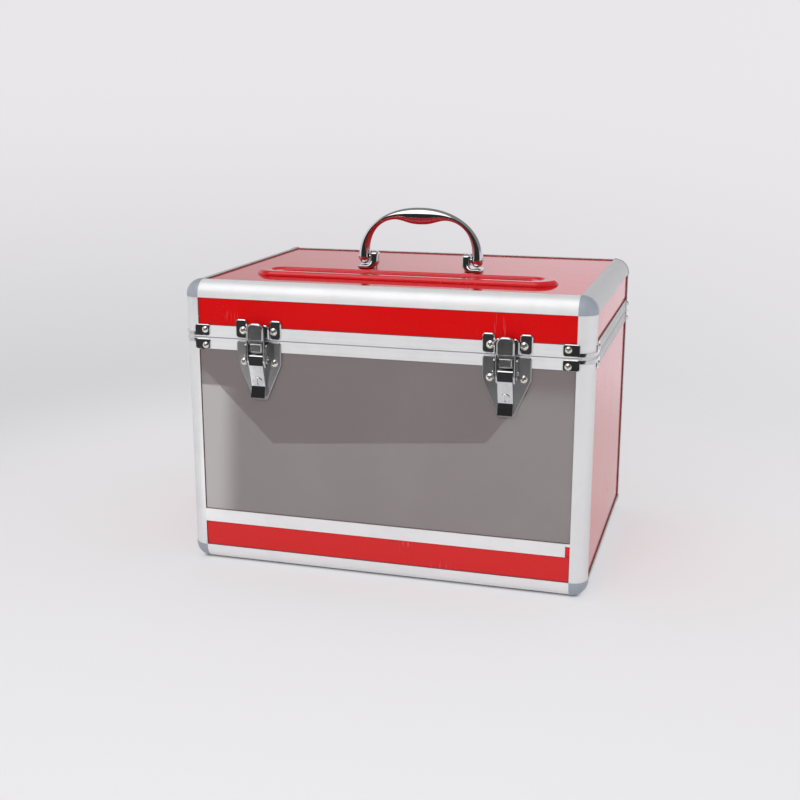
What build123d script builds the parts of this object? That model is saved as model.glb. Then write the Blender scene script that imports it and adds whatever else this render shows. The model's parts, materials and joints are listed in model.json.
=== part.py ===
from build123d import *
import math
import os

# Tabletop ballot box in the manner of an aluminium instrument case, in millimetres.
# The origin is under the middle of the box, on the surface it stands on.
# X runs to the right along the front, Y runs to the back and Z runs up.

# Overall size, over the flat faces of the aluminium profiles
box_width = 360.0
box_depth = 260.0
box_height = 256.7
lid_height = 49.3
split_gap = 0.3

# Edge profile: a quarter-round bar with one slot along each of its two flat lips
profile = 14.4
edge_flat = 1.2
lip = 1.2
inner_lip = 1.2
slot_depth = 5.0
sheet = 3.0
sheet_play = 0.1
sheet_edge_play = 0.4

# Mouth rims at the split
body_rim_height = 10.0
lid_rim_height = 10.6
tongue = 1.6
tongue_height = 5.0
tongue_inset = 7.0
tongue_play = 0.4
tongue_swing_play = 1.3
rim_floor = 3.6
rim_leg = 1.4
rim_web = 1.4
scratch_line = 0.5
scratch_line_depth = 0.3
body_rim_line_shares = (0.24, 0.71)
lid_rim_line_shares = (0.17, 0.62)

# Window, low strip and the trim between them
trim_low = 37.2
trim_high = 48.9
trim_web_low = 46.5
trim_web = 1.0
trim_play = 0.1
trim_cut_back = 4.0

# Ball corners
cap_proud = 0.4
cap_leg = 5.5
cap_leg_play = 0.2
cap_leg_reach = 10.0
notch_play = 0.2

# Corner braces at the split
brace_sheet = 1.0
brace_tab_width = 14.3
brace_tab_lap = 1.8
brace_tab_radius = 2.4
brace_edge = 0.5
brace_neck = 3.0
body_brace_drop = 1.1
body_brace_height = 9.4
lid_brace_lift = 1.6
lid_brace_height = 10.0

# Domed rivets
rivet_head_radius = 2.9
rivet_head_height = 1.5
rivet_shank_radius = 1.5
rivet_play = 0.1
brace_rivet_setback = 9.7
body_brace_rivet_drop = 6.9
lid_brace_rivet_lift = 7.0
latch_rivet_head_radius = 3.4
latch_rivet_head_height = 1.8
mandrel_radius = 1.0
mandrel_depth = 0.9

# Hinges at the back
hinge_inset = 80.0
hinge_length = 60.0
hinge_leaf_height = 20.0
hinge_leaf_sheet = 1.2
hinge_axis_out = 3.2
hinge_barrel_radius = 2.8
hinge_pin_radius = 1.25
hinge_pin_play = 0.05
hinge_knuckles = 5
hinge_knuckle_play = 0.3
hinge_leaf_radius = 2.0
hinge_rivet_spacing = 22.0
hinge_rivet_drop = 13.0

# Draw latches: the keeper and the hook's hood rise from the split, the base hangs below it
latch_inset = 71.0
latch_sheet = 1.2
latch_edge = 0.8
latch_rivet_spacing = 28.0
keeper_width = 42.0
keeper_ear_width = 10.5
keeper_foot_rise = 1.3
keeper_height = 16.3
keeper_ear_radius = 2.8
keeper_rivet_rise = 6.8
lug_height = 12.7
lug_proud = 3.6
lug_radius = 4.0
base_half_width = 20.5
base_drop = 0.8
base_shoulder_drop = 19.6
base_height = 51.6
base_nose_half_width = 6.6
base_corner_radius = 3.2
base_rivet_drop = 18.6
cheek_inner = 8.8
cheek_sheet = 1.4
cheek_drop = 1.2
cheek_height = 17.9
cheek_proud = 8.0
cheek_radius = 3.0
lever_pivot_out = 5.6
lever_pivot_drop = 13.1
lever_pin_radius = 1.2
lever_pin_head = 0.7
lever_pin_head_radius = 2.0
lever_barrel_radius = 2.7
lever_half_width = 6.3
lever_wall = 1.4
lever_knee_drop = 7.0
lever_waist_out = 3.6
lever_slope_fall = 19.0
lever_tip_out = 6.4
lever_lip_fall = 9.9
lever_back_out = 1.8
hook_pivot_out = 4.6
hook_pivot_drop = 6.9
hook_pin_radius = 1.1
hook_pin_play = 0.05
hook_front_out = 9.5
hook_hood_half_width = 7.2
hook_hood_rise = 0.4
hook_hood_height = 15.8
hook_hood_radius = 5.4
hook_sheet = 1.5
hook_lip_out = 4.0
hook_arm_inner = 6.6
hook_arm_sheet = 1.5
hook_arm_back_out = 7.1
hook_arm_rise = 3.9
hook_eye_radius = 2.3
hook_face_out = 8.3
hook_face_rise = 4.1
hook_edge = 0.35
key_rise = 4.5
key_radius = 4.2
key_proud = 0.6
key_barrel_radius = 3.4
key_play = 0.1
key_barrel_length = 2.0
key_slot_width = 1.1
key_slot_length = 5.6
key_slot_depth = 0.9

# Letter slot and its raised surround
surround_margin = 42.5
surround_setback = 54.0
surround_width = 40.0
surround_height = 4.0
surround_round = 2.0
surround_recess_margin = 14.5
surround_recess_width = 20.0
slot_margin = 8.0
slot_width = 8.0
surround_recess_depth = 1.4
throat_wall = 2.0
throat_play = 0.2
throat_reach = 1.5

# Folding handle, standing up at rest
handle_half_width = 59.4
handle_rise = 47.1
handle_pivot_lift = 10.2
handle_squareness = 2.1
handle_eye_radius = 6.3
handle_eye_width = 11.0
handle_deep_grip = 15.4
bracket_ear = 8.0
bracket_play = 0.3
bracket_ear_radius = 6.0
bracket_depth = 18.0
bracket_sheet = 2.4
bracket_edge = 0.6
handle_pin_radius = 2.5
handle_pin_play = 0.05
screw_head_radius = 3.2
screw_head_height = 1.6
screw_radius = 1.6
screw_spacing = 6.4
screw_reach = 5.0

# Sections of the handle: turn from one leg to the other as shares of half a circle,
# depth across the arch and breadth along Y as shares of the deep grip
handle_turn_shares = (0.02, 0.075, 0.13, 0.185, 0.24, 0.295, 0.355, 0.42, 0.5)
handle_depth_shares = (0.66, 0.60, 0.52, 0.40, 0.335, 0.335, 0.44, 0.74, 1.0)
handle_breadth_shares = (0.74, 0.72, 0.68, 0.62, 0.60, 0.66, 0.76, 0.92, 1.02)

# One overrun serves every cut
overrun = 2.0

# Levels and places worked out from the sizes above
split = box_height - lid_height
lid_floor = split + split_gap
edge_radius = profile - edge_flat
sheet_out = lip + sheet_play
slot_width_in_bar = sheet + 2 * sheet_play
inner_face = lip + slot_width_in_bar + inner_lip
slot_end = profile - slot_depth
sheet_edge = slot_end + sheet_edge_play
notch = profile + notch_play - sheet_edge
body_rim_low = split - body_rim_height
lid_rim_high = lid_floor + lid_rim_height
panel_top = box_height - sheet_out
hinge_axis_y = box_depth / 2 + hinge_axis_out
hinge_axis_z = split + split_gap / 2
hinge_offset = box_width / 2 - hinge_inset
brace_tab_inset = edge_radius - brace_tab_lap
brace_rivet_inset = brace_tab_inset + brace_rivet_setback
surround_length = box_width - 2 * surround_margin
surround_recess_length = surround_length - 2 * surround_recess_margin
slot_length = surround_recess_length - 2 * slot_margin
slot_centre_y = surround_setback + surround_width / 2 - box_depth / 2
handle_pivot_z = panel_top + handle_pivot_lift
bracket_inner = handle_half_width - handle_eye_width - bracket_play - bracket_ear

# Heights of the latch's points
latch_offset = box_width / 2 - latch_inset
keeper_low = split + keeper_foot_rise
keeper_high = keeper_low + keeper_height
keeper_rivet_height = keeper_low + keeper_rivet_rise
lug_high = keeper_low + lug_height
base_top = split - base_drop
base_shoulder = base_top - base_shoulder_drop
base_bottom = base_top - base_height
base_rivet_height = base_top - base_rivet_drop
cheek_high = base_top - cheek_drop
cheek_low = cheek_high - cheek_height
lever_pivot_height = base_top - lever_pivot_drop
lever_knee_height = lever_pivot_height - lever_knee_drop
lever_waist_height = lever_knee_height - lever_slope_fall
lever_tip_height = lever_waist_height - lever_lip_fall
hook_pivot_height = lever_pivot_height - hook_pivot_drop
hook_hood_low = split + hook_hood_rise
hook_hood_high = hook_hood_low + hook_hood_height
hook_arm_low = hook_pivot_height + hook_arm_rise
hook_face_low = lever_pivot_height + hook_face_rise
key_height = lever_waist_height + key_rise

HANDS = {"left": -1, "right": 1}
SIDES = {"front": (0, -1), "back": (0, 1), "left": (-1, 0), "right": (1, 0)}
CORNERS = {
    "front_left": (-1, -1),
    "front_right": (1, -1),
    "rear_left": (-1, 1),
    "rear_right": (1, 1),
}


def block(low, high):
    """A box between two opposite corners."""
    size = [b - a for a, b in zip(low, high)]
    centre = [(a + b) / 2 for a, b in zip(low, high)]
    return Pos(*centre) * Box(*size)


def reach_of(side):
    """Distance from the middle of the box to the face of one side."""
    return box_depth / 2 if side in ("front", "back") else box_width / 2


def span_of(side):
    """Length of one side, corner to corner."""
    return box_width if side in ("front", "back") else box_depth


def side_plane(side, out, level, along=0):
    """Plane on a side: x along the side, y up and z outward, a little proud of the face."""
    ox, oy = SIDES[side]
    reach = reach_of(side) + out
    origin = (ox * reach - oy * along, oy * reach + ox * along, level)
    return Plane(origin=origin, x_dir=(-oy, ox, 0), z_dir=(ox, oy, 0))


def side_bar(section, side, level, length):
    """Runs a section (x inward from the face, y up) along the middle of a side."""
    ox, oy = SIDES[side]
    reach = reach_of(side)
    start = (ox * reach + oy * length / 2, oy * reach - ox * length / 2, level)
    plane = Plane(origin=start, x_dir=(-ox, -oy, 0), z_dir=(-oy, ox, 0))
    return extrude(plane * section, amount=length)


def at_corner(shape, sx, sy):
    """Carries a shape drawn inward from the origin to one of the four corners."""
    if sx > 0:
        shape = mirror(shape, about=Plane.YZ)
    if sy > 0:
        shape = mirror(shape, about=Plane.XZ)
    return Pos(sx * box_width / 2, sy * box_depth / 2, 0) * shape


def rounded_corners(shape, radius, axis):
    """Rounds the edges of a plate that run along its thickness."""
    return fillet(shape.edges().filter_by(axis), radius)


def soft_front(shape, axis, size):
    """Breaks the front edges of a pressed part, the ones on the face furthest along an axis."""
    return chamfer(shape.faces().sort_by(axis)[-1].edges(), size)


# Aluminium profiles


def edge_section():
    """Section of an edge bar, its outer corner at the origin and both flats inward."""
    far, inside, mid, back = profile, inner_face, slot_end, lip + slot_width_in_bar
    points = [
        (0, 0), (far, 0), (far, lip), (mid, lip), (mid, back), (far, back), (far, inside),
        (inside, inside), (inside, far), (back, far), (back, mid), (lip, mid), (lip, far), (0, far),
    ]
    half = edge_radius / 2
    corner = Pos(half, half) * Rectangle(edge_radius, edge_radius)
    corner -= Pos(edge_radius, edge_radius) * Circle(edge_radius)
    return Polygon(*points, align=None) - corner


def scratch_lines(section, height, shares):
    """Cuts the fine lines that run along the outer face of a rim."""
    for share in shares:
        middle = Pos(0, share * height)
        section -= middle * Rectangle(2 * scratch_line_depth, scratch_line)
    return section


def body_rim_section():
    """Section of the body's mouth rim: slot below, shelf inward and a tongue on top."""
    back = lip + slot_width_in_bar
    shelf = tongue_inset + tongue + tongue_play
    high = body_rim_height
    points = [
        (0, 0), (lip, 0), (lip, slot_depth), (back, slot_depth), (back, 0), (inner_face, 0),
        (inner_face, high - rim_floor), (shelf, high - rim_floor), (shelf, high),
        (tongue_inset + tongue, high), (tongue_inset + tongue, high + tongue_height),
        (tongue_inset, high + tongue_height), (tongue_inset, high), (0, high),
    ]
    return scratch_lines(Polygon(*points, align=None), high, body_rim_line_shares)


def lid_rim_section():
    """Section of the lid's rim: slot above and, below, a groove for the body's tongue."""
    back = lip + slot_width_in_bar
    high = lid_rim_height
    slot_floor = high - slot_depth
    groove_outer = tongue_inset - tongue_play
    groove_inner = tongue_inset + tongue + tongue_swing_play
    groove_top = tongue_height - split_gap + tongue_play
    leg = groove_inner + rim_leg
    points = [
        (0, 0), (groove_outer, 0), (groove_outer, groove_top), (groove_inner, groove_top),
        (groove_inner, 0), (leg, 0), (leg, groove_top + rim_web), (inner_face, groove_top + rim_web),
        (inner_face, high), (back, high), (back, slot_floor), (lip, slot_floor), (lip, high), (0, high),
    ]
    return scratch_lines(Polygon(*points, align=None), high, lid_rim_line_shares)


def trim_bar():
    """H trim between strip and window; its front lip is cut short at the right end."""
    back = lip + slot_width_in_bar
    low, high = trim_low, trim_high
    points = [
        (0, low), (lip, low), (lip, trim_web_low), (back, trim_web_low), (back, low),
        (inner_face, low), (inner_face, high), (back, high), (back, trim_web_low + trim_web),
        (lip, trim_web_low + trim_web), (lip, high), (0, high),
    ]
    bar = side_bar(Polygon(*points, align=None), "front", 0, box_width - 2 * profile)
    end = box_width / 2 - profile
    face = -box_depth / 2
    cut = block(
        (end - trim_cut_back, face - overrun, low - overrun),
        (end + overrun, face + lip, trim_web_low),
    )
    upper = block(
        (end - trim_cut_back, face - overrun, trim_web_low - overrun),
        (end + overrun, face + scratch_line, high + overrun),
    )
    return bar - cut - upper


def post(low, high, sx, sy):
    """Upright bar at one corner."""
    return at_corner(Pos(0, 0, low) * extrude(edge_section(), amount=high - low), sx, sy)


# Sheets held in the slots


def sheet_outline(width, height, low_notch, high_notch):
    """Outline of a sheet, notched where a ball corner sits."""
    outline = Rectangle(width, height)
    for sign, wanted in ((-1, low_notch), (1, high_notch)):
        for sx in (-1, 1):
            if wanted:
                centre = Pos(sx * (width - notch) / 2, sign * (height - notch) / 2)
                outline -= centre * Rectangle(notch, notch)
    return outline


def side_sheet(side, low, high, low_notch=False, high_notch=False):
    """Upright sheet in the slots of one side, from one height to another."""
    width = span_of(side) - 2 * sheet_edge
    plane = side_plane(side, -sheet_out, (low + high) / 2)
    return extrude(plane * sheet_outline(width, high - low, low_notch, high_notch), amount=-sheet)


def level_sheet(level):
    """Sheet that closes the box below or above; level is the middle of its thickness."""
    width, depth = box_width - 2 * sheet_edge, box_depth - 2 * sheet_edge
    plate = extrude(sheet_outline(width, depth, True, True), amount=sheet / 2, both=True)
    return Pos(0, 0, level) * plate


# Ball corners


def ball_corner():
    """Ball corner drawn inward from the origin, with three legs that lie inside the bars."""
    proud, size = cap_proud, profile
    cube = block((-proud,) * 3, (2 * size,) * 3)
    corner = Vector(-proud, -proud, -proud)
    sharp = [e for e in cube.edges() if min((e @ 0 - corner).length, (e @ 1 - corner).length) < proud]
    cube = fillet(sharp, edge_radius + proud)
    cube &= block((-proud,) * 3, (size,) * 3)
    cube -= block((inner_face,) * 3, (size + overrun,) * 3)
    low = inner_face + cap_leg_play
    high = low + cap_leg
    reach = size + cap_leg_reach
    start = inner_face - inner_lip / 2
    cube += block((start, low, low), (reach, high, high))
    cube += block((low, start, low), (high, reach, high))
    cube += block((low, low, start), (high, high, reach))
    return cube


def ball_corners(upper):
    """The four ball corners, those on top proud all round, those below flat under the box."""
    shape = ball_corner()
    if upper:
        shape = Pos(0, 0, box_height) * mirror(shape, about=Plane.XY)
    else:
        shape -= block((-overrun, -overrun, -overrun), (2 * profile, 2 * profile, 0))
    return [at_corner(shape, sx, sy) for sx, sy in CORNERS.values()]


# Rivets and braces


def dome(radius, height):
    """Spherical cap that stands on the XY plane."""
    ball = (radius**2 + height**2) / (2 * height)
    return Pos(0, 0, height - ball) * Sphere(ball) & Pos(0, 0, height) * Box(4 * radius, 4 * radius, 2 * height)


def rivet(plane, grip, head_radius=rivet_head_radius, head_height=rivet_head_height):
    """Blind rivet: domed head with the stub hole of its mandrel, and a shank."""
    body = dome(head_radius, head_height)
    body += Pos(0, 0, -grip / 2) * Cylinder(rivet_shank_radius, grip)
    body -= Pos(0, 0, head_height) * Cylinder(mandrel_radius, 2 * mandrel_depth)
    return plane.location * body


def rivet_hole(plane, grip):
    """What a rivet's shank needs cut from the pieces it joins."""
    length = grip + 2 * overrun
    return plane.location * Pos(0, 0, -grip / 2) * Cylinder(rivet_shank_radius + rivet_play, length)


def brace_rivet_planes(height):
    """Where the brace rivets stand at one height, two at every corner."""
    planes = []
    for side in SIDES:
        for sign in (-1, 1):
            along = sign * (span_of(side) / 2 - brace_rivet_inset)
            planes.append(side_plane(side, brace_sheet, height, along))
    return planes


def brace(sx, sy, tab_low, tab_high, neck_low):
    """Steel strap bent round a post: a riveted tab on each side and a narrow neck between."""
    centre = edge_radius
    ring = Pos(centre, centre) * (Circle(edge_radius + brace_sheet) - Circle(edge_radius))
    ring &= Pos((centre - brace_sheet) / 2, (centre - brace_sheet) / 2) * Rectangle(
        centre + brace_sheet, centre + brace_sheet
    )
    neck = Pos(0, 0, neck_low) * extrude(ring, amount=brace_neck)
    tab = block(
        (brace_tab_inset, -brace_sheet, tab_low), (brace_tab_inset + brace_tab_width, 0, tab_high)
    )
    tab = soft_front(rounded_corners(tab, brace_tab_radius, Axis.Y), -Axis.Y, brace_edge)
    other = mirror(tab, about=Plane(origin=(0, 0, 0), z_dir=(1, -1, 0)))
    return at_corner(neck + tab + other, sx, sy)


body_tab_high = split - body_brace_drop
body_tab_low = body_tab_high - body_brace_height
lid_tab_low = split + lid_brace_lift
lid_tab_high = lid_tab_low + lid_brace_height
brace_grip = brace_sheet + inner_face
body_brace_planes = brace_rivet_planes(split - body_brace_rivet_drop)
lid_brace_planes = brace_rivet_planes(split + lid_brace_rivet_lift)


# Draw latches, drawn at x = 0 with `out` measured forward from the front face


def front(x, out, height):
    """A point in front of the box, from its distance forward of the face and its height."""
    return (x, -box_depth / 2 - out, height)


def front_block(x_low, x_high, out_low, out_high, low, high):
    """A box in front of the box's face."""
    return block(front(x_low, out_high, low), front(x_high, out_low, high))


def side_profile(points, half_width):
    """Runs an outline of (out, height) points sideways, both ways from the middle."""
    plane = Plane(origin=front(0, 0, 0), x_dir=(0, -1, 0), z_dir=(-1, 0, 0))
    return extrude(plane * Polygon(*points, align=None), amount=half_width, both=True)


def cross_pin(out, height, radius, half_length):
    """Round pin along X in front of the box."""
    plane = Plane(origin=front(0, out, height), z_dir=(1, 0, 0))
    return plane.location * Cylinder(radius, 2 * half_length)


def latch_rivet_planes(out, height):
    """Where the two rivets of a keeper or of a latch base stand."""
    planes = []
    for sx in (-1, 1):
        for sign in (-1, 1):
            along = sx * latch_offset + sign * latch_rivet_spacing / 2
            planes.append(side_plane("front", out, height, along))
    return planes


def keeper():
    """Keeper on the lid: two riveted ears and the raised lug that the hook lies over."""
    lug_half_width = keeper_width / 2 - keeper_ear_width
    middle = front_block(-lug_half_width, lug_half_width, 0, lug_proud, keeper_low, lug_high)
    upper = middle.edges().filter_by(Axis.Y).group_by(Axis.Z)[-1]
    middle = fillet(upper, lug_radius)
    middle = soft_front(middle, -Axis.Y, latch_edge)
    inner = lug_half_width - latch_sheet
    hollow = front_block(-inner, inner, -overrun, lug_proud - latch_sheet, keeper_low - overrun,
                         lug_high - latch_sheet)
    hollow_top = hollow.edges().filter_by(Axis.Y).group_by(Axis.Z)[-1]
    middle -= fillet(hollow_top, lug_radius - latch_sheet)
    shape = middle
    for sign in (-1, 1):
        outer = sign * keeper_width / 2
        inside = sign * (keeper_width / 2 - keeper_ear_width)
        low_x, high_x = min(outer, inside), max(outer, inside)
        ear = front_block(low_x, high_x, 0, latch_sheet, keeper_low, keeper_high)
        ear = soft_front(rounded_corners(ear, keeper_ear_radius, Axis.Y), -Axis.Y, latch_edge)
        shape += ear
    return shape


def latch_base():
    """Latch base on the body: a tapered plate with two cheeks that carry the lever's pin."""
    points = [
        (-base_half_width, base_top), (-base_half_width, base_shoulder),
        (-base_nose_half_width, base_bottom), (base_nose_half_width, base_bottom),
        (base_half_width, base_shoulder), (base_half_width, base_top),
    ]
    plane = Plane(origin=front(0, 0, 0), x_dir=(1, 0, 0), z_dir=(0, -1, 0))
    plate = extrude(plane * Polygon(*points, align=None), amount=latch_sheet)
    plate = soft_front(rounded_corners(plate, base_corner_radius, Axis.Y), -Axis.Y, latch_edge)
    for sign in (-1, 1):
        inner, outer = sign * cheek_inner, sign * (cheek_inner + cheek_sheet)
        low_x, high_x = min(inner, outer), max(inner, outer)
        cheek = front_block(low_x, high_x, latch_sheet / 2, cheek_proud, cheek_low, cheek_high)
        ends = cheek.edges().filter_by(Axis.X).group_by(Axis.Y)[0]
        plate += fillet(ends, cheek_radius)
    return plate - cross_pin(lever_pivot_out, lever_pivot_height, lever_pin_radius, base_half_width)


def pivot_pin():
    """Pin through both cheeks, with a small head outside each."""
    outside = cheek_inner + cheek_sheet
    pin = cross_pin(lever_pivot_out, lever_pivot_height, lever_pin_radius, outside)
    for sign in (-1, 1):
        centre = front(sign * (outside + lever_pin_head / 2), lever_pivot_out, lever_pivot_height)
        plane = Plane(origin=centre, z_dir=(1, 0, 0))
        pin += plane.location * Cylinder(lever_pin_head_radius, lever_pin_head)
    return pin


lever_front_out = lever_pivot_out + lever_barrel_radius
slope_out = lever_front_out - lever_waist_out
slope_length = math.hypot(slope_out, lever_slope_fall)
key_out = lever_waist_out + key_rise * slope_out / lever_slope_fall
key_axis = (0, -lever_slope_fall / slope_length, -slope_out / slope_length)
key_plane = Plane(origin=front(0, key_out, key_height), x_dir=(1, 0, 0), z_dir=key_axis)


def latch_lever():
    """Pressed lever: a barrel on the pivot, a flat brow, a slope with the key plug and a lip."""
    outline = [
        (lever_pivot_out, lever_pivot_height + lever_barrel_radius / 2),
        (lever_front_out, lever_pivot_height), (lever_front_out, lever_knee_height),
        (lever_waist_out, lever_waist_height), (lever_tip_out, lever_tip_height),
        (lever_tip_out - lever_wall, lever_tip_height - lever_wall / 2),
        (lever_back_out, lever_waist_height - lever_wall), (lever_back_out, lever_knee_height),
        (lever_pivot_out - lever_barrel_radius / 2, lever_pivot_height),
    ]
    shape = side_profile(outline, lever_half_width)
    hollow = [
        (lever_front_out - lever_wall, lever_pivot_height - lever_barrel_radius - lever_wall / 2),
        (lever_front_out - lever_wall, lever_knee_height),
        (lever_waist_out - lever_wall / 3, lever_waist_height),
        (lever_waist_out - lever_wall / 3, lever_tip_height - overrun),
        (-lever_front_out, lever_tip_height - overrun),
        (-lever_front_out, lever_pivot_height - lever_barrel_radius - lever_wall / 2),
    ]
    tip = side_profile(
        [
            (lever_waist_out, lever_waist_height), (lever_tip_out, lever_tip_height),
            (lever_tip_out - lever_wall, lever_tip_height - lever_wall / 2),
            (lever_waist_out - lever_wall, lever_waist_height),
        ],
        lever_half_width,
    )
    shape -= side_profile(hollow, lever_half_width - lever_wall)
    shape += tip
    shape += cross_pin(lever_pivot_out, lever_pivot_height, lever_barrel_radius, lever_half_width)
    shape -= cross_pin(
        lever_pivot_out, lever_pivot_height, lever_pin_radius + hook_pin_play, base_half_width
    )
    shape -= cross_pin(hook_pivot_out, hook_pivot_height, hook_pin_radius, base_half_width)
    hole = Cylinder(key_barrel_radius + key_play, 4 * key_barrel_length)
    return shape - key_plane.location * hole


def hook_pin():
    """Pin that joins the hook's arms to the lever."""
    half = hook_arm_inner + hook_arm_sheet
    return cross_pin(hook_pivot_out, hook_pivot_height, hook_pin_radius, half)


def latch_hook():
    """Hook strap: a hood over the keeper's lug, a recessed face and two arms to the pin."""
    hood = front_block(
        -hook_hood_half_width, hook_hood_half_width, hook_lip_out, hook_front_out,
        hook_hood_low, hook_hood_high,
    )
    crown = hood.edges().filter_by(Axis.Y).group_by(Axis.Z)[-1]
    hood = soft_front(fillet(crown, hook_hood_radius), -Axis.Y, hook_edge)
    inner = hook_hood_half_width - hook_sheet
    hollow = front_block(
        -inner, inner, -overrun, hook_front_out - hook_sheet, hook_hood_low - overrun,
        hook_hood_high - hook_sheet,
    )
    hollow_top = hollow.edges().filter_by(Axis.Y).group_by(Axis.Z)[-1]
    hood -= fillet(hollow_top, hook_hood_radius - hook_sheet)
    arm_outline = [
        (hook_front_out, hook_hood_low + hook_edge), (hook_front_out, hook_arm_low),
        (hook_pivot_out + hook_eye_radius, hook_pivot_height - hook_eye_radius / 2),
        (hook_pivot_out, hook_pivot_height - hook_eye_radius / 2),
        (hook_pivot_out - hook_eye_radius / 2, hook_pivot_height + hook_eye_radius / 2),
        (hook_arm_back_out, hook_arm_low + hook_edge), (hook_arm_back_out, hook_hood_low + hook_edge),
    ]
    outer = hook_arm_inner + hook_arm_sheet
    arms = side_profile(arm_outline, outer)
    arms += cross_pin(hook_pivot_out, hook_pivot_height, hook_eye_radius, outer)
    arms -= front_block(
        -hook_arm_inner, hook_arm_inner, -overrun, 2 * hook_front_out, hook_pivot_height - profile,
        hook_hood_low + profile,
    )
    face = front_block(
        -hook_arm_inner, hook_arm_inner, hook_face_out - hook_sheet, hook_face_out,
        hook_face_low, hook_hood_low,
    )
    shelf = front_block(
        -hook_hood_half_width, hook_hood_half_width, hook_face_out - hook_sheet, hook_front_out,
        hook_hood_low - hook_sheet / 2, hook_hood_low + hook_sheet / 2,
    )
    shape = hood + face + shelf + arms
    return shape - cross_pin(
        hook_pivot_out, hook_pivot_height, hook_pin_radius + hook_pin_play, base_half_width
    )


def key_plug():
    """Key plug set square to the lever's slope, with its upright key slot."""
    plug = Pos(0, 0, key_proud / 2) * Cylinder(key_radius, key_proud)
    plug = chamfer(plug.faces().sort_by(Axis.Z)[-1].edges(), key_proud / 2)
    plug += Pos(0, 0, -key_barrel_length / 2) * Cylinder(key_barrel_radius, key_barrel_length)
    plug -= Pos(0, 0, key_proud) * Box(key_slot_width, key_slot_length, 2 * key_slot_depth)
    return key_plane.location * plug


# Hinges


def hinge_rivet_planes(sign):
    """Where the rivets of the leaves stand, below the split for -1 and above it for 1."""
    planes = []
    for sx in (-1, 1):
        for step in (-1, 0, 1):
            along = sx * hinge_offset + step * hinge_rivet_spacing
            height = hinge_axis_z + sign * hinge_rivet_drop
            planes.append(side_plane("back", hinge_leaf_sheet, height, along))
    return planes


def hinge_leaf(sx, sign):
    """One leaf with its knuckles: the lower leaf has the odd ones, the upper leaf the rest."""
    x0 = sx * hinge_offset
    face, outer = box_depth / 2, box_depth / 2 + hinge_leaf_sheet
    clear = hinge_barrel_radius + hinge_knuckle_play
    relief = math.sqrt(clear**2 - (hinge_axis_out - hinge_leaf_sheet) ** 2)
    near, far = sorted((hinge_axis_z + sign * relief, hinge_axis_z + sign * hinge_leaf_height))
    half = hinge_length / 2
    leaf = block((x0 - half, face, near), (x0 + half, outer, far))
    outer_edges = leaf.edges().filter_by(Axis.Y).sort_by(Axis.Z)
    leaf = fillet(outer_edges[:2] if sign < 0 else outer_edges[2:], hinge_leaf_radius)
    pitch = (hinge_length + hinge_knuckle_play) / hinge_knuckles
    for index in range(hinge_knuckles):
        if (index % 2 == 0) != (sign < 0):
            continue
        low_x = x0 - half + index * pitch
        high_x = low_x + pitch - hinge_knuckle_play
        near, far = sorted((hinge_axis_z, hinge_axis_z + sign * (relief + hinge_leaf_sheet)))
        leaf += block((low_x, face, near), (high_x, outer, far))
        leaf += hinge_rod((low_x + high_x) / 2, hinge_barrel_radius, high_x - low_x)
    return leaf - hinge_rod(x0, hinge_pin_radius + hinge_pin_play, hinge_length + overrun)


def hinge_rod(x, radius, length):
    """Round bar on the hinge axis."""
    plane = Plane(origin=(x, hinge_axis_y, hinge_axis_z), z_dir=(1, 0, 0))
    return plane.location * Cylinder(radius, length)


# Lid furniture


def throat(width_over, length_over, low, high):
    """Upright stadium prism at the letter slot."""
    outline = SlotOverall(slot_length + 2 * length_over, slot_width + 2 * width_over)
    return Pos(0, slot_centre_y, low) * extrude(outline, amount=high - low)


def slot_surround():
    """Raised surround with a shallow tray and a throat that lines the hole in the lid."""
    ring = extrude(SlotOverall(surround_length, surround_width), amount=surround_height)
    ring = fillet(ring.faces().sort_by(Axis.Z)[-1].edges(), surround_round)
    tray = SlotOverall(surround_recess_length, surround_recess_width)
    floor_level = surround_height - surround_recess_depth
    ring -= Pos(0, 0, floor_level) * extrude(tray, amount=overrun)
    ring = Pos(0, slot_centre_y, panel_top) * ring
    ring += throat(throat_wall, throat_wall, panel_top - sheet - throat_reach, panel_top + overrun / 2)
    return ring - throat(0, 0, panel_top - sheet - profile, panel_top + profile)


def handle_bracket(sx):
    """Bracket beside one leg of the handle: a foot plate and an ear that holds the pin."""
    outer = sx * handle_half_width
    inner = sx * bracket_inner
    ear_outer = sx * (bracket_inner + bracket_ear)
    foot = block(
        (min(outer, inner), -bracket_depth / 2, panel_top),
        (max(outer, inner), bracket_depth / 2, panel_top + bracket_sheet),
    )
    foot = chamfer(foot.faces().sort_by(Axis.Z)[-1].edges(), bracket_edge)
    low_x, high_x = min(inner, ear_outer), max(inner, ear_outer)
    radius = bracket_ear_radius
    ear = block((low_x, -radius, panel_top), (high_x, radius, handle_pivot_z))
    plane = Plane(origin=((low_x + high_x) / 2, 0, handle_pivot_z), z_dir=(1, 0, 0))
    ear += plane.location * Cylinder(radius, high_x - low_x)
    shape = foot + ear - handle_rod(handle_pin_radius)
    return shape - screw_holes(sx, panel_top - sheet, screw_reach, screw_radius)


def handle_rod(radius):
    """Long bar on the handle's pivot axis."""
    plane = Plane(origin=(0, 0, handle_pivot_z), z_dir=(1, 0, 0))
    return plane.location * Cylinder(radius, 4 * handle_half_width)


def handle_pin(sx):
    """Pin through a bracket's ear and the handle's eye."""
    length = handle_half_width - bracket_inner
    middle = sx * (bracket_inner + length / 2)
    plane = Plane(origin=(middle, 0, handle_pivot_z), z_dir=(1, 0, 0))
    return plane.location * Cylinder(handle_pin_radius, length)


def screw_places(sx):
    """Where the screws come up into a bracket's ear."""
    x = sx * (bracket_inner + bracket_ear / 2)
    return [(x, sign * screw_spacing / 2) for sign in (-1, 1)]


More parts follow.
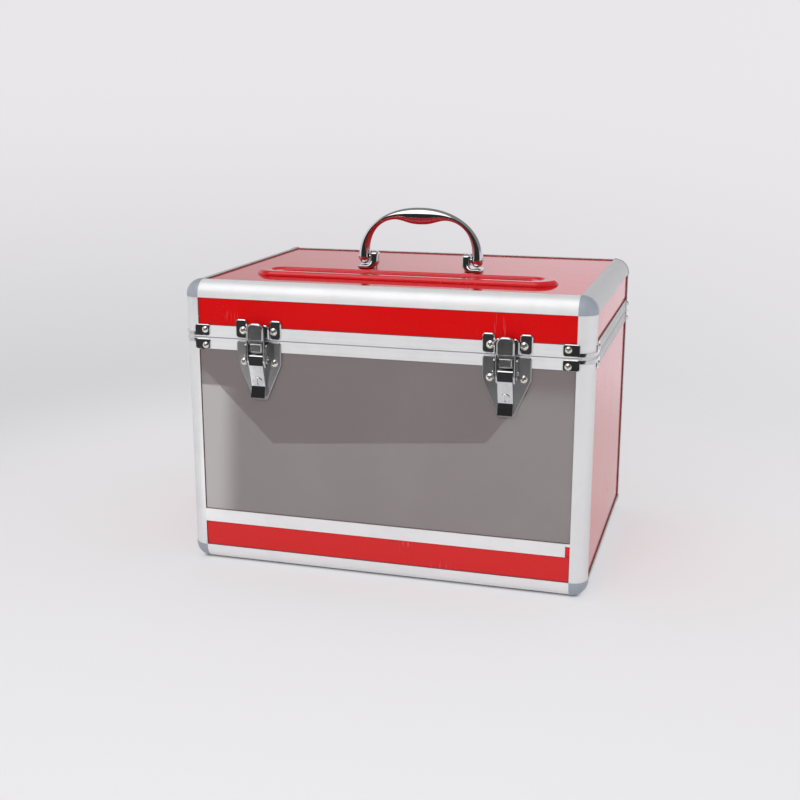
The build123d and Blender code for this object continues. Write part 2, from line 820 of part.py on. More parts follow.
def screw_holes(sx, low, reach, radius):
    """Blind holes that rise from under the lid's top sheet into a bracket."""
    length = sheet + reach
    return [Pos(x, y, low + length / 2) * Cylinder(radius, length) for x, y in screw_places(sx)]


def bracket_screws(sx):
    """Screws put in from inside the lid."""
    low = panel_top - sheet
    screws = []
    for x, y in screw_places(sx):
        length = sheet + screw_reach
        screw = Pos(x, y, low + length / 2) * Cylinder(screw_radius, length)
        head = mirror(dome(screw_head_radius, screw_head_height), about=Plane.XY)
        screws.append(screw + Pos(x, y, low) * head)
    return screws


def handle_section(turn, depth, breadth):
    """Oval section across the arch where its outer line has turned by an angle."""
    power = 2 / handle_squareness
    cosine, sine = math.cos(turn), math.sin(turn)
    x = -handle_half_width * math.copysign(abs(cosine) ** power, cosine)
    z = handle_rise * sine**power
    across = (x / handle_half_width**2, z / handle_rise**2)
    size = math.hypot(*across)
    nx, nz = across[0] / size, across[1] / size
    centre = (x - nx * depth / 2, 0, handle_pivot_z + z - nz * depth / 2)
    plane = Plane(origin=centre, x_dir=(nx, 0, nz), z_dir=(nz, 0, -nx))
    steps = [math.pi / 4 * step for step in range(9)]
    rim = [(depth / 2 * math.cos(step), breadth / 2 * math.sin(step)) for step in steps]
    return plane * make_face([ThreePointArc(*rim[start : start + 3]) for start in (0, 2, 4, 6)])


def handle():
    """Arched handle: oval sections from leg to leg, thin at the shoulders and deep at the grip."""
    turns = list(handle_turn_shares) + [1 - share for share in reversed(handle_turn_shares[:-1])]
    depths = list(handle_depth_shares) + list(reversed(handle_depth_shares[:-1]))
    breadths = list(handle_breadth_shares) + list(reversed(handle_breadth_shares[:-1]))
    sections = [
        handle_section(math.pi * turn, depth * handle_deep_grip, breadth * handle_deep_grip)
        for turn, depth, breadth in zip(turns, depths, breadths)
    ]
    shape = loft(sections)
    for sx in (-1, 1):
        middle = sx * (handle_half_width - handle_eye_width / 2)
        plane = Plane(origin=(middle, 0, handle_pivot_z), z_dir=(1, 0, 0))
        eye = plane.location * Cylinder(handle_eye_radius, handle_eye_width)
        eye = fillet(eye.edges().filter_by(GeomType.CIRCLE), bracket_edge)
        shape += eye
    return shape - handle_rod(handle_pin_radius + handle_pin_play)


# Every node by its name

nodes = {}

# Sheets
window_low = trim_web_low + trim_web + trim_play
nodes["bottom_panel"] = level_sheet(sheet_out + sheet / 2)
for name in ("left", "right", "back"):
    nodes[f"{name}_panel"] = side_sheet(
        name, sheet_edge, body_rim_low + slot_depth - sheet_edge_play, low_notch=True
    )
nodes["front_strip"] = side_sheet("front", sheet_edge, trim_web_low - trim_play, low_notch=True)
nodes["window"] = side_sheet("front", window_low, body_rim_low + slot_depth - sheet_edge_play)
nodes["window_trim"] = trim_bar()
nodes["lid_panel_top"] = level_sheet(panel_top - sheet / 2)
for name in SIDES:
    nodes[f"lid_panel_{name}"] = side_sheet(
        name, lid_rim_high - slot_depth + sheet_edge_play, box_height - sheet_edge, high_notch=True
    )

# Bars
upside_down = mirror(edge_section(), about=Plane.XZ)
for name in SIDES:
    length = span_of(name) - 2 * profile
    nodes[f"bottom_rail_{name}"] = side_bar(edge_section(), name, 0, length)
    nodes[f"top_rail_{name}"] = side_bar(upside_down, name, box_height, length)
    nodes[f"body_rim_{name}"] = side_bar(body_rim_section(), name, body_rim_low, length)
    nodes[f"lid_rim_{name}"] = side_bar(lid_rim_section(), name, lid_floor, length)
for name, (sx, sy) in CORNERS.items():
    nodes[f"body_post_{name}"] = post(profile, split, sx, sy)
nodes["lid_posts"] = [post(lid_floor, box_height - profile, sx, sy) for sx, sy in CORNERS.values()]

# Corners and braces
nodes["bottom_corner_caps"] = ball_corners(upper=False)
nodes["lid_corner_caps"] = ball_corners(upper=True)
nodes["body_braces"] = [
    brace(sx, sy, body_tab_low, body_tab_high, body_tab_high - brace_neck) for sx, sy in CORNERS.values()
]
nodes["lid_braces"] = [
    brace(sx, sy, lid_tab_low, lid_tab_high, lid_tab_low) for sx, sy in CORNERS.values()
]

# Latches
for name, sx in HANDS.items():
    place = Pos(sx * latch_offset, 0, 0)
    nodes[f"latch_base_{name}"] = place * latch_base()
    nodes[f"latch_lever_{name}"] = place * latch_lever()
    nodes[f"latch_hook_{name}"] = place * latch_hook()
    nodes[f"latch_hook_pin_{name}"] = place * hook_pin()
    nodes[f"latch_key_plug_{name}"] = place * key_plug()
nodes["latch_keepers"] = [Pos(sx * latch_offset, 0, 0) * keeper() for sx in HANDS.values()]
nodes["latch_pivot_pins"] = [Pos(sx * latch_offset, 0, 0) * pivot_pin() for sx in HANDS.values()]

# Hinges
nodes["hinge_body_leaves"] = [hinge_leaf(sx, -1) for sx in HANDS.values()]
nodes["hinge_lid_leaves"] = [hinge_leaf(sx, 1) for sx in HANDS.values()]
nodes["hinge_pins"] = [
    hinge_rod(sx * hinge_offset, hinge_pin_radius, hinge_length) for sx in HANDS.values()
]

# Lid furniture
nodes["slot_surround"] = slot_surround()
nodes["handle_brackets"] = [handle_bracket(sx) for sx in HANDS.values()]
nodes["handle_pins"] = [handle_pin(sx) for sx in HANDS.values()]
nodes["handle_screws"] = bracket_screws(-1) + bracket_screws(1)
nodes["handle"] = handle()
nodes["lid_panel_top"] -= throat(
    throat_wall + throat_play, throat_wall + throat_play, panel_top - profile, panel_top + overrun
)
for sx in HANDS.values():
    nodes["lid_panel_top"] -= screw_holes(sx, panel_top - sheet, screw_reach, screw_radius + rivet_play)

# Rivets, and the holes they need in the pieces they join
sheet_grip = sheet_out + sheet
body_groups = [
    (body_brace_planes, brace_grip, (), ["body_braces"]),
    (latch_rivet_planes(latch_sheet, base_rivet_height), latch_sheet + sheet_grip,
     (latch_rivet_head_radius, latch_rivet_head_height), ["latch_base_left", "latch_base_right"]),
    (hinge_rivet_planes(-1), hinge_leaf_sheet + sheet_grip, (), ["hinge_body_leaves"]),
]
lid_groups = [
    (lid_brace_planes, brace_grip, (), ["lid_braces"]),
    (latch_rivet_planes(latch_sheet, keeper_rivet_height), latch_sheet + inner_face,
     (latch_rivet_head_radius, latch_rivet_head_height), ["latch_keepers"]),
    (hinge_rivet_planes(1), hinge_leaf_sheet + sheet_grip, (), ["hinge_lid_leaves"]),
]
body_hosts = ["left_panel", "right_panel", "back_panel", "window"] + [f"body_rim_{s}" for s in SIDES]
lid_hosts = [f"lid_panel_{s}" for s in SIDES] + [f"lid_rim_{s}" for s in SIDES]


def near(shape, cutters):
    """The cutters whose boxes meet a shape's box."""
    box = shape.bounding_box()
    return [c for c in cutters if not outside(box, c.bounding_box())]


def outside(one, two):
    """Whether two boxes are apart."""
    pairs = zip(tuple(one.min), tuple(one.max), tuple(two.min), tuple(two.max))
    return any(a_high < b_low or b_high < a_low for a_low, a_high, b_low, b_high in pairs)


def drilled(shape, cutters):
    """A shape, or each solid of a group, with the holes that reach it."""
    if isinstance(shape, list):
        return [drilled(one, cutters) for one in shape]
    wanted = near(shape, cutters)
    return shape - wanted if wanted else shape


for node, groups, hosts in (("body_rivets", body_groups, body_hosts), ("lid_rivets", lid_groups, lid_hosts)):
    nodes[node] = []
    for planes, grip, head, plates in groups:
        nodes[node] += [rivet(plane, grip, *head) for plane in planes]
        cutters = [rivet_hole(plane, grip) for plane in planes]
        for host in hosts + plates:
            nodes[host] = drilled(nodes[host], cutters)

os.makedirs("parts", exist_ok=True)
for name, shape in nodes.items():
    solids = []
    for one in shape if isinstance(shape, list) else [shape]:
        solids += one.solids()
    export_step(solids[0] if len(solids) == 1 else Compound(children=solids), f"parts/{name}.step")

print(len(nodes), "nodes")
print("hinge axis y, z:", hinge_axis_y, hinge_axis_z)
print("handle pivot z:", handle_pivot_z)
print("lever pivot:", front(0, lever_pivot_out, lever_pivot_height))
print("hook pivot:", front(0, hook_pivot_out, hook_pivot_height))
print("key plug:", front(0, key_out, key_height), key_axis)
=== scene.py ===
# %% [markdown]
# A tabletop ballot box: red sheets in aluminium edge profiles, a smoked window, two draw
# latches, a folding handle and a lid on hinges at the back. The construction comes as a fixed
# frame of metal and plastic parts. This lesson dresses it: it sets the camera and the light,
# gives every part its finish, and adds the thin pieces that are easier to make as surfaces.

# %% Load the frame
import json
import math

import bmesh
import bpy
import numpy as np
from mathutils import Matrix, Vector


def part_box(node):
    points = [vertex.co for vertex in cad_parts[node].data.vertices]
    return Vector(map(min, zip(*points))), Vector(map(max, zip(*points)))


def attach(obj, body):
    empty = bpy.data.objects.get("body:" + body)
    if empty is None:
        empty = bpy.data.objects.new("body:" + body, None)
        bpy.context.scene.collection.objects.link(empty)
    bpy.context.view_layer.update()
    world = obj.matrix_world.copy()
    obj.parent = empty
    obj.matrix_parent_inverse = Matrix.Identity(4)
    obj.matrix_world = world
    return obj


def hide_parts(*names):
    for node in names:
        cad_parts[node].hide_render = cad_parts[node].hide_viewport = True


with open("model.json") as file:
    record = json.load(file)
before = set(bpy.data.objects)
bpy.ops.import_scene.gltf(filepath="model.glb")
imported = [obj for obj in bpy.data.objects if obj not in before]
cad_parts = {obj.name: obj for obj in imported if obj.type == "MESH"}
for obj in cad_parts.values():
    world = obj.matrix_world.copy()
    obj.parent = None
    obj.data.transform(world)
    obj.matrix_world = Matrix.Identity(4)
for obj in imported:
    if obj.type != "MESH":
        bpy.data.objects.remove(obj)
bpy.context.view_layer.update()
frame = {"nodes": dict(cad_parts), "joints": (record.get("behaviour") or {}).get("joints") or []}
NODES = frame["nodes"]
print("parts in the frame:", len(NODES))

# %% [markdown]
# The camera. A box seen a little from the right and a little from above: its place was worked
# out from the box's own corners, so the lens is a real one.

# %% Camera
CAMERA_AT = Vector((0.2926, -1.0752, 0.4118))
CAMERA_TARGET = Vector((-0.0198, 0.0, 0.1289))
LENS_MM = 54.11
SENSOR_MM = 36.0


def make_camera():
    """A camera at its place, looking at its target with the world's up."""
    data = bpy.data.cameras.new("camera")
    data.lens = LENS_MM
    data.sensor_width = SENSOR_MM
    camera = bpy.data.objects.new("camera", data)
    bpy.context.scene.collection.objects.link(camera)
    camera.location = CAMERA_AT
    camera.rotation_mode = "QUATERNION"
    camera.rotation_quaternion = (CAMERA_TARGET - CAMERA_AT).to_track_quat("-Z", "Y")
    bpy.context.scene.camera = camera


make_camera()
bpy.context.scene.view_settings.view_transform = "Standard"
print("camera distance:", round((CAMERA_TARGET - CAMERA_AT).length, 3), "m")

# %% [markdown]
# Node trees by hand are long to write, so a few small helpers do the wiring: they add a node
# with its settings, link two sockets, reckon, make a smooth step, and mix colours or shaders.


# %% Helpers for node trees
def add(tree, kind, **settings):
    """A node of a kind in a tree. A setting that names a socket fills it, and any other setting
    is a property of the node."""
    node = tree.nodes.new(kind)
    for key, value in settings.items():
        socket = node.inputs.get(key.replace("_", " "))
        if socket is not None and not hasattr(node, key):
            socket.default_value = value
        else:
            setattr(node, key, value)
    return node


def join(tree, out, into):
    """Links an output socket to an input socket."""
    tree.links.new(out, into)


def math_node(tree, operation, one, two=0.5, three=0.0):
    """A Math node; each term is a number or a socket. Returns its output."""
    node = add(tree, "ShaderNodeMath", operation=operation)
    for index, term in enumerate((one, two, three)):
        if isinstance(term, (int, float)):
            node.inputs[index].default_value = term
        else:
            join(tree, term, node.inputs[index])
    return node.outputs[0]


def ramp(tree, value, low, high, to_low=0.0, to_high=1.0):
    """A smooth step of a value: to_low below low, to_high above high."""
    node = add(tree, "ShaderNodeMapRange", interpolation_type="SMOOTHSTEP")
    join(tree, value, node.inputs["Value"])
    ends = {"From Min": low, "From Max": high, "To Min": to_low, "To Max": to_high}
    for name, number in ends.items():
        node.inputs[name].default_value = number
    return node.outputs[0]


def mix_colour(tree, factor, one, two):
    """A colour mixed by a factor; each of the three is a value or a socket."""
    node = add(tree, "ShaderNodeMix", data_type="RGBA")
    for socket, term in ((node.inputs[0], factor), (node.inputs[6], one), (node.inputs[7], two)):
        if isinstance(term, bpy.types.NodeSocket):
            join(tree, term, socket)
        else:
            socket.default_value = term
    return node.outputs[2]


def mix_shader(tree, factor, one, two):
    """A shader that is one where the factor is 0 and two where it is 1."""
    node = add(tree, "ShaderNodeMixShader")
    for socket, out in zip(node.inputs, (factor, one, two)):
        join(tree, out, socket)
    return node.outputs[0]


def place_parts(tree, kind="Object"):
    """Texture coordinates of a kind, and their x, y and z."""
    place = add(tree, "ShaderNodeTexCoord").outputs[kind]
    split = add(tree, "ShaderNodeSeparateXYZ")
    join(tree, place, split.inputs[0])
    return (place, *split.outputs)


def ray_kinds(tree):
    """Two values: 1 for what the eye sees, also through glass, and 1 for what reflections see."""
    path = add(tree, "ShaderNodeLightPath").outputs
    eye = math_node(tree, "MAXIMUM", path["Is Camera Ray"], path["Is Transmission Ray"])
    return eye, path["Is Glossy Ray"]


def grey(level):
    """An opaque grey."""
    return (level, level, level, 1.0)


# %% [markdown]
# The studio. A glossy box shows its room, so the room is drawn with care, and in three ways.
# The eye sees a pale sweep all round. Plain surfaces get one even light. Reflections see a soft
# box overhead, a grey ceiling, pale sides that are greyer at the back on the left, and a dim
# space behind the camera, which keeps the red of the front deep and gives chrome its darks.

# %% World
AMBIENT = 0.46
WALL = (0.812, 0.796, 0.822, 1.0)
WALL_RIGHT = (0.822, 0.806, 0.832, 1.0)
SWEEP_SHADE = (0.625, 0.62, 0.64, 1.0)
SWEEP_SHADE_RIGHT = (0.74, 0.73, 0.752, 1.0)
FLOOR_FAR = (0.805, 0.79, 0.815, 1.0)
DIM_ROOM = grey(0.032)
PALE_ROOM = (0.92, 0.90, 0.945, 1.0)
LEFT_ROOM = (0.62, 0.61, 0.625, 1.0)
HIGH_ROOM = grey(0.28)
SOFT_BOX = grey(1.9)
SOFT_BOX_FROM = (-0.25, -0.409, 0.877)
SOFT_BOX_EDGE = (0.86, 0.90)
# where one part of the room turns into the next, as parts of a direction of length 1
RIGHT_FROM = (-0.35, 0.15)
WALL_FROM = (-0.29, 0.02)
SWEEP_FROM = (-0.40, -0.29)
LEFT_UNTIL = (-0.45, -0.1)
BACK_FROM = (0.5, 0.8)
CEILING_SLANT = 0.25
CEILING_FROM = (0.28, 0.46)
AHEAD_UNTIL = (-0.55, -0.2)
DIM_UNTIL = (0.70, 0.85)


def seen_room(tree, x, z):
    """What the eye sees from low to high: far floor, the shade at the foot of the sweep, wall."""
    right = ramp(tree, x, *RIGHT_FROM)
    high = mix_colour(tree, right, WALL, WALL_RIGHT)
    low = mix_colour(tree, right, SWEEP_SHADE, SWEEP_SHADE_RIGHT)
    wall = mix_colour(tree, ramp(tree, z, *WALL_FROM), low, high)
    return mix_colour(tree, ramp(tree, z, *SWEEP_FROM), FLOOR_FAR, wall)


def mirrored_room(tree, direction, x, y, z):
    """What reflections see, each laid over the one before: sides, ceiling, dim space, soft box."""
    left = ramp(tree, x, *LEFT_UNTIL, 1.0, 0.0)
    leftward = math_node(tree, "MULTIPLY", left, ramp(tree, y, *BACK_FROM))
    sides = mix_colour(tree, leftward, PALE_ROOM, LEFT_ROOM)
    height = math_node(tree, "MULTIPLY_ADD", x, CEILING_SLANT, z)
    room = mix_colour(tree, ramp(tree, height, *CEILING_FROM), sides, HIGH_ROOM)
    ahead = ramp(tree, y, *AHEAD_UNTIL, 1.0, 0.0)
    dim = math_node(tree, "MULTIPLY", ahead, ramp(tree, z, *DIM_UNTIL, 1.0, 0.0))
    around = mix_colour(tree, dim, room, DIM_ROOM)
    facing = add(tree, "ShaderNodeVectorMath", operation="DOT_PRODUCT")
    join(tree, direction, facing.inputs[0])
    facing.inputs[1].default_value = SOFT_BOX_FROM
    return mix_colour(tree, ramp(tree, facing.outputs["Value"], *SOFT_BOX_EDGE), around, SOFT_BOX)


def make_world():
    """One background colour for the eye, one for reflections and one even light."""
    world = bpy.data.worlds.new("studio")
    bpy.context.scene.world = world
    world.use_nodes = True
    tree = world.node_tree
    tree.nodes.clear()
    direction, x, y, z = place_parts(tree, "Generated")
    eye, mirrored = ray_kinds(tree)
    reflected = mirrored_room(tree, direction, x, y, z)
    light = mix_colour(tree, mirrored, grey(AMBIENT), reflected)
    background = add(tree, "ShaderNodeBackground")
    join(tree, mix_colour(tree, eye, light, seen_room(tree, x, z)), background.inputs["Color"])
    out = add(tree, "ShaderNodeOutputWorld")
    join(tree, background.outputs[0], out.inputs["Surface"])
    print("world nodes:", len(tree.nodes))


make_world()

# %% [markdown]
# The floor is a pale sheet that fades into the sweep. Lit by the lamps alone it would be grey,
# and lamps strong enough to whiten it would bleach the box, so the eye and reflections see it
# half by the lamps and half by a glow of its own. It keeps its soft shadow that way. The edge
# bars are round underneath, so a narrow crevice runs between them and the floor. Its shade is
# painted into the floor as a dark line that ends before the outer faces of the box.

# %% Floor
FLOOR_REACH = 3.0
FLOOR_FADE = (0.42, 0.85)
FLOOR_COLOUR = (0.86, 0.855, 0.865, 1.0)
FLOOR_GLOW = (0.90, 0.89, 0.915, 1.0)
GLOW_SHARE = 0.5
FLOOR_GAP = 0.0004
FRONT_END = (-0.92, -0.76)
BEHIND_FROM = (0.0, 0.3)
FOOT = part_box("bottom_corner_caps")[1]
FOOT_ROUND = 0.0125
# painted shadow under the edge bars: where it fades out, and the grey it paints
CREVICE_SHADOW_FADE = (0.001, 0.008)
CREVICE_SHADOW = 0.25


def flat_stage(name, corners, height):
    """A flat four-cornered sheet at a height, marked as not part of the object."""
    mesh = bpy.data.meshes.new(name)
    mesh.from_pydata([(x, y, height) for x, y in corners], [], [(0, 1, 2, 3)])
    sheet = bpy.data.objects.new(name, mesh)
    bpy.context.scene.collection.objects.link(sheet)
    material = bpy.data.materials.new(name)
    material.use_nodes = True
    mesh.materials.append(material)
    return sheet, material


def crevice_shadow(tree, place):
    """How much painted shadow the floor gets: 1 close under the edge of the box, fading to 0
    outward. The measure is the length of max(|p| - inner, 0): how far p is from a rectangle that
    is smaller than the box all round."""
    inner = (FOOT.x - FOOT_ROUND, FOOT.y - FOOT_ROUND, 1.0)
    steps = (("ABSOLUTE", None), ("SUBTRACT", inner), ("MAXIMUM", (0.0, 0.0, 0.0)))
    for operation, term in steps:
        step = add(tree, "ShaderNodeVectorMath", operation=operation)
        join(tree, place, step.inputs[0])
        if term is not None:
            step.inputs[1].default_value = term
        place = step.outputs["Vector"]
    outside = add(tree, "ShaderNodeVectorMath", operation="LENGTH")
    join(tree, place, outside.inputs[0])
    return ramp(tree, outside.outputs["Value"], *CREVICE_SHADOW_FADE, 1.0, 0.0)


def make_floor():
    """A flat sheet that fades into the room all round for the eye, and at the back for
    reflections, which don't see its front part at all."""
    reach = FLOOR_REACH
    corners = [(-reach, -reach), (reach, -reach), (reach, reach), (-reach, reach)]
    material = flat_stage("floor", corners, -FLOOR_GAP)[1]
    tree = material.node_tree
    tree.nodes.clear()
    place, _, y, _ = place_parts(tree)
    eye, mirrored = ray_kinds(tree)
    length = add(tree, "ShaderNodeVectorMath", operation="LENGTH")
    join(tree, place, length.inputs[0])
    behind = math_node(tree, "MULTIPLY", ramp(tree, y, *BEHIND_FROM), mirrored)
    far = ramp(tree, length.outputs["Value"], *FLOOR_FADE)
    fade = math_node(tree, "MULTIPLY", far, math_node(tree, "MAXIMUM", eye, behind))
    unseen = math_node(tree, "MULTIPLY", ramp(tree, y, *FRONT_END, 1.0, 0.0), mirrored)
    direct = math_node(tree, "MAXIMUM", eye, mirrored)
    paper = add(tree, "ShaderNodeBsdfDiffuse", Color=FLOOR_COLOUR).outputs[0]
    glow = add(tree, "ShaderNodeEmission", Color=FLOOR_GLOW).outputs[0]
    # painted shadow: a dark grey that the eye sees on the floor close under the box's edges
    dark = add(tree, "ShaderNodeBsdfDiffuse", Color=grey(CREVICE_SHADOW)).outputs[0]
    nothing = add(tree, "ShaderNodeBsdfTransparent").outputs[0]
    lit = mix_shader(tree, math_node(tree, "MULTIPLY", direct, GLOW_SHARE), paper, glow)
    shaded = mix_shader(tree, math_node(tree, "MULTIPLY", crevice_shadow(tree, place), eye), lit, dark)
    surface = mix_shader(tree, math_node(tree, "MAXIMUM", fade, unseen), shaded, nothing)
    out = add(tree, "ShaderNodeOutputMaterial")
    join(tree, surface, out.inputs["Surface"])
    print("floor nodes:", len(tree.nodes))


make_floor()

# %% [markdown]
# The gloss of the window mirrors the floor in front of the box. In a real studio that floor is
# not even: there is a dim place where the camera stands, and a bright one at the left by the
# lamp. Two flat patches that only reflections see paint both without changing the floor itself:
# a dark sheet as a painted reflection of shade, and a glowing sheet, which is no lamp, as a
# painted reflection of light.

# %% Patches of painted reflection on the floor
PATCH_LIFT = 0.002
# painted reflections: corners of a dark sheet, and of a glowing one with its glow and fade
PAINTED_DIM_REFLECTION = [(-0.248, -0.489), (0.001, -0.562), (0.011, -1.3), (-0.836, -1.3)]
PAINTED_DIM_REFLECTION_COLOUR = grey(0.02)
PAINTED_BRIGHT_REFLECTION = [(-0.16, -0.25), (-0.382, -0.75), (-0.497, -0.75), (-0.276, -0.25)]
PAINTED_BRIGHT_REFLECTION_GLOW = 3.3
PAINTED_BRIGHT_REFLECTION_SLOPE = 0.443
PAINTED_BRIGHT_REFLECTION_FADE = (-0.106, -0.072)


def only_mirrored(sheet):
    """Hides a sheet from everything but reflections."""
    sheet.visible_camera = False
    sheet.visible_diffuse = False
    sheet.visible_transmission = False
    sheet.visible_shadow = False


def make_painted_dim_reflection():
    """A dark matt sheet in front of the box: a painted reflection of shade."""
    patch, material = flat_stage("painted_dim_reflection", PAINTED_DIM_REFLECTION, PATCH_LIFT)
    shader = material.node_tree.nodes["Principled BSDF"]
    shader.inputs["Base Color"].default_value = PAINTED_DIM_REFLECTION_COLOUR
    shader.inputs["Roughness"].default_value = 1.0
    only_mirrored(patch)


def make_painted_bright_reflection():
    """A glowing sheet at the left, no lamp but a painted reflection of light, which fades out to
    the right along x - slope y.
    """
    patch, material = flat_stage("painted_bright_reflection", PAINTED_BRIGHT_REFLECTION, PATCH_LIFT)
    tree = material.node_tree
    tree.nodes.clear()
    _, x, y, _ = place_parts(tree)
    across = math_node(tree, "MULTIPLY_ADD", y, -PAINTED_BRIGHT_REFLECTION_SLOPE, x)
    glow = add(tree, "ShaderNodeEmission", Strength=PAINTED_BRIGHT_REFLECTION_GLOW).outputs[0]
    nothing = add(tree, "ShaderNodeBsdfTransparent").outputs[0]
    surface = mix_shader(tree, ramp(tree, across, *PAINTED_BRIGHT_REFLECTION_FADE), glow, nothing)
    out = add(tree, "ShaderNodeOutputMaterial")
    join(tree, surface, out.inputs["Surface"])
    only_mirrored(patch)


make_painted_dim_reflection()
make_painted_bright_reflection()
print("patches lie", PATCH_LIFT, "m above the foot of the box")

# %% [markdown]
# Three large soft lamps, as a photographer would set them: one in front, one above and one at
# the right. Reflections don't see them, because the room already has its soft box.

# %% Lamps
# name: place, what it faces, width and height in metres, power in watts
LAMPS = {
    "front": ((0.0, -1.6, 0.8), (0.0, -0.1, 0.12), (1.5, 0.9), 13.5),
    "overhead": ((-0.1, 0.2, 1.7), (0.0, 0.0, 0.1), (1.6, 1.2), 4.0),
    "right": ((1.5, 0.1, 0.6), (0.1, 0.0, 0.12), (0.8, 1.0), 3.3),
}


def make_lamp(name, place, aim, size, power):
    """A soft rectangular lamp turned towards a point."""
    data = bpy.data.lights.new(name, "AREA")
    data.shape = "RECTANGLE"
    data.size, data.size_y = size
    data.energy = power
    lamp = bpy.data.objects.new(name, data)
    bpy.context.scene.collection.objects.link(lamp)
    lamp.location = place
    lamp.rotation_mode = "QUATERNION"
    lamp.rotation_quaternion = (Vector(aim) - Vector(place)).to_track_quat("-Z", "Y")
    lamp.visible_glossy = False


for lamp_name, settings in LAMPS.items():
    make_lamp(lamp_name, *settings)
print("lamps:", len(LAMPS))

# %% [markdown]
# Effects that several finishes share are shader groups. "streaks" is the fine line left by
# drawing or brushing metal: noise stretched along one axis. "handling" is what hands and
# shelves leave on every surface: broad, faint patches that are a little duller, and dust.
# "scuffs" are the short marks on gloss where the box was slid past something.


# %% Shared shader groups
def new_group(name, inputs, outputs):
    """An empty shader group with float, vector or colour sockets. Returns it with its two ends."""
    group = bpy.data.node_groups.new(name, "ShaderNodeTree")
    for label, kind, value in inputs:
        socket = group.interface.new_socket(name=label, in_out="INPUT", socket_type=kind)
        socket.default_value = value
    for label, kind in outputs:
        group.interface.new_socket(name=label, in_out="OUTPUT", socket_type=kind)
    return group, group.nodes.new("NodeGroupInput"), group.nodes.new("NodeGroupOutput")


STREAK_NOISE = {"Scale": 1.0, "Detail": 4.0, "Roughness": 0.6}
PATCHES_FROM = (0.42, 0.7)
DUST_FROM = (0.66, 0.74)
SCUFF_STRETCH = (420.0, 420.0, 38.0)
SCUFF_LINES_FROM = (0.60, 0.68)
SCUFF_PLACES_FROM = (0.60, 0.70)


def stretched_noise(group, stretch, **settings):
    """Noise at Object coordinates times a stretch, so a small number draws lines along its axis."""
    stretched = add(group, "ShaderNodeVectorMath", operation="MULTIPLY")
    join(group, add(group, "ShaderNodeTexCoord").outputs["Object"], stretched.inputs[0])
    if isinstance(stretch, bpy.types.NodeSocket):
        join(group, stretch, stretched.inputs[1])
    else:
        stretched.inputs[1].default_value = stretch
    noise = add(group, "ShaderNodeTexNoise", **settings)
    join(group, stretched.outputs[0], noise.inputs["Vector"])
    return noise.outputs["Fac"]


def make_streaks():
    """Height is stretched noise, and Roughness varies with it: (noise - 0.5) Spread + Roughness."""
    inputs = [("Scale", "NodeSocketVector", (900.0, 900.0, 900.0))]
    inputs += [("Roughness", "NodeSocketFloat", 0.3), ("Spread", "NodeSocketFloat", 0.1)]
    outputs = [("Height", "NodeSocketFloat"), ("Roughness", "NodeSocketFloat")]
    group, ins, outs = new_group("streaks", inputs, outputs)
    lines = stretched_noise(group, ins.outputs["Scale"], **STREAK_NOISE)
    centred = math_node(group, "SUBTRACT", lines, 0.5)
    spread, middle = ins.outputs["Spread"], ins.outputs["Roughness"]
    join(group, lines, outs.inputs["Height"])
    join(group, math_node(group, "MULTIPLY_ADD", centred, spread, middle), outs.inputs["Roughness"])
    return group


def make_handling():
    """Two sizes of soft noise: a broad one for dulled patches and a fine one for dust."""
    inputs = [("Patch Scale", "NodeSocketFloat", 14.0), ("Dust Scale", "NodeSocketFloat", 900.0)]
    outputs = [("Patches", "NodeSocketFloat"), ("Dust", "NodeSocketFloat")]
    group, ins, outs = new_group("handling", inputs, outputs)
    coordinates = add(group, "ShaderNodeTexCoord")
    broad = add(group, "ShaderNodeTexNoise", Detail=5.0, Roughness=0.55, Distortion=0.6)
    fine = add(group, "ShaderNodeTexNoise", Detail=2.0, Roughness=0.5)
    for noise, label in ((broad, "Patch Scale"), (fine, "Dust Scale")):
        join(group, coordinates.outputs["Object"], noise.inputs["Vector"])
        join(group, ins.outputs[label], noise.inputs["Scale"])
    join(group, ramp(group, broad.outputs["Fac"], *PATCHES_FROM), outs.inputs["Patches"])
    join(group, ramp(group, fine.outputs["Fac"], *DUST_FROM), outs.inputs["Dust"])
    return group


def make_scuffs():
    """Short upright lines in a few places: stretched noise, kept where a broad noise is high."""
    inputs, outputs = [("Amount", "NodeSocketFloat", 0.5)], [("Scuffs", "NodeSocketFloat")]
    group, ins, outs = new_group("scuffs", inputs, outputs)
    look = {"Scale": 1.0, "Detail": 2.0, "Roughness": 0.5, "Distortion": 0.4}
    lines = stretched_noise(group, SCUFF_STRETCH, **look)
    places = add(group, "ShaderNodeTexNoise", Scale=21.0, Detail=1.0, Roughness=0.4)
    join(group, add(group, "ShaderNodeTexCoord").outputs["Object"], places.inputs["Vector"])
    few = ramp(group, places.outputs["Fac"], *SCUFF_PLACES_FROM)
    both = math_node(group, "MULTIPLY", ramp(group, lines, *SCUFF_LINES_FROM), few)
    join(group, math_node(group, "MULTIPLY", both, ins.outputs["Amount"]), outs.inputs["Scuffs"])
    return group


STREAKS = make_streaks()
HANDLING = make_handling()
SCUFFS = make_scuffs()
print("shared groups:", STREAKS.name, HANDLING.name, SCUFFS.name)


# %% [markdown]
# Every finish starts from one Principled shader and a few shared groups, so three helpers
# start the material, place a group in it, and lead a height to the shader through a Bump.

# %% A plain start for every finish
def start_material(name, **sockets):
    """A material with one Principled shader, whose sockets are filled by name. Returns the
    material, its tree and its shader."""
    material = bpy.data.materials.new(name)
    material.use_nodes = True
    tree = material.node_tree
    shader = tree.nodes["Principled BSDF"]
    for key, value in sockets.items():
        shader.inputs[key.replace("_", " ")].default_value = value
    return material, tree, shader


def use_group(tree, group, **values):
    """A shader group placed in a material, with its own values."""
    node = add(tree, "ShaderNodeGroup")
    node.node_tree = group
    for key, value in values.items():
        node.inputs[key.replace("_", " ")].default_value = value
    return node


GRAIN_DEPTH = 0.0002


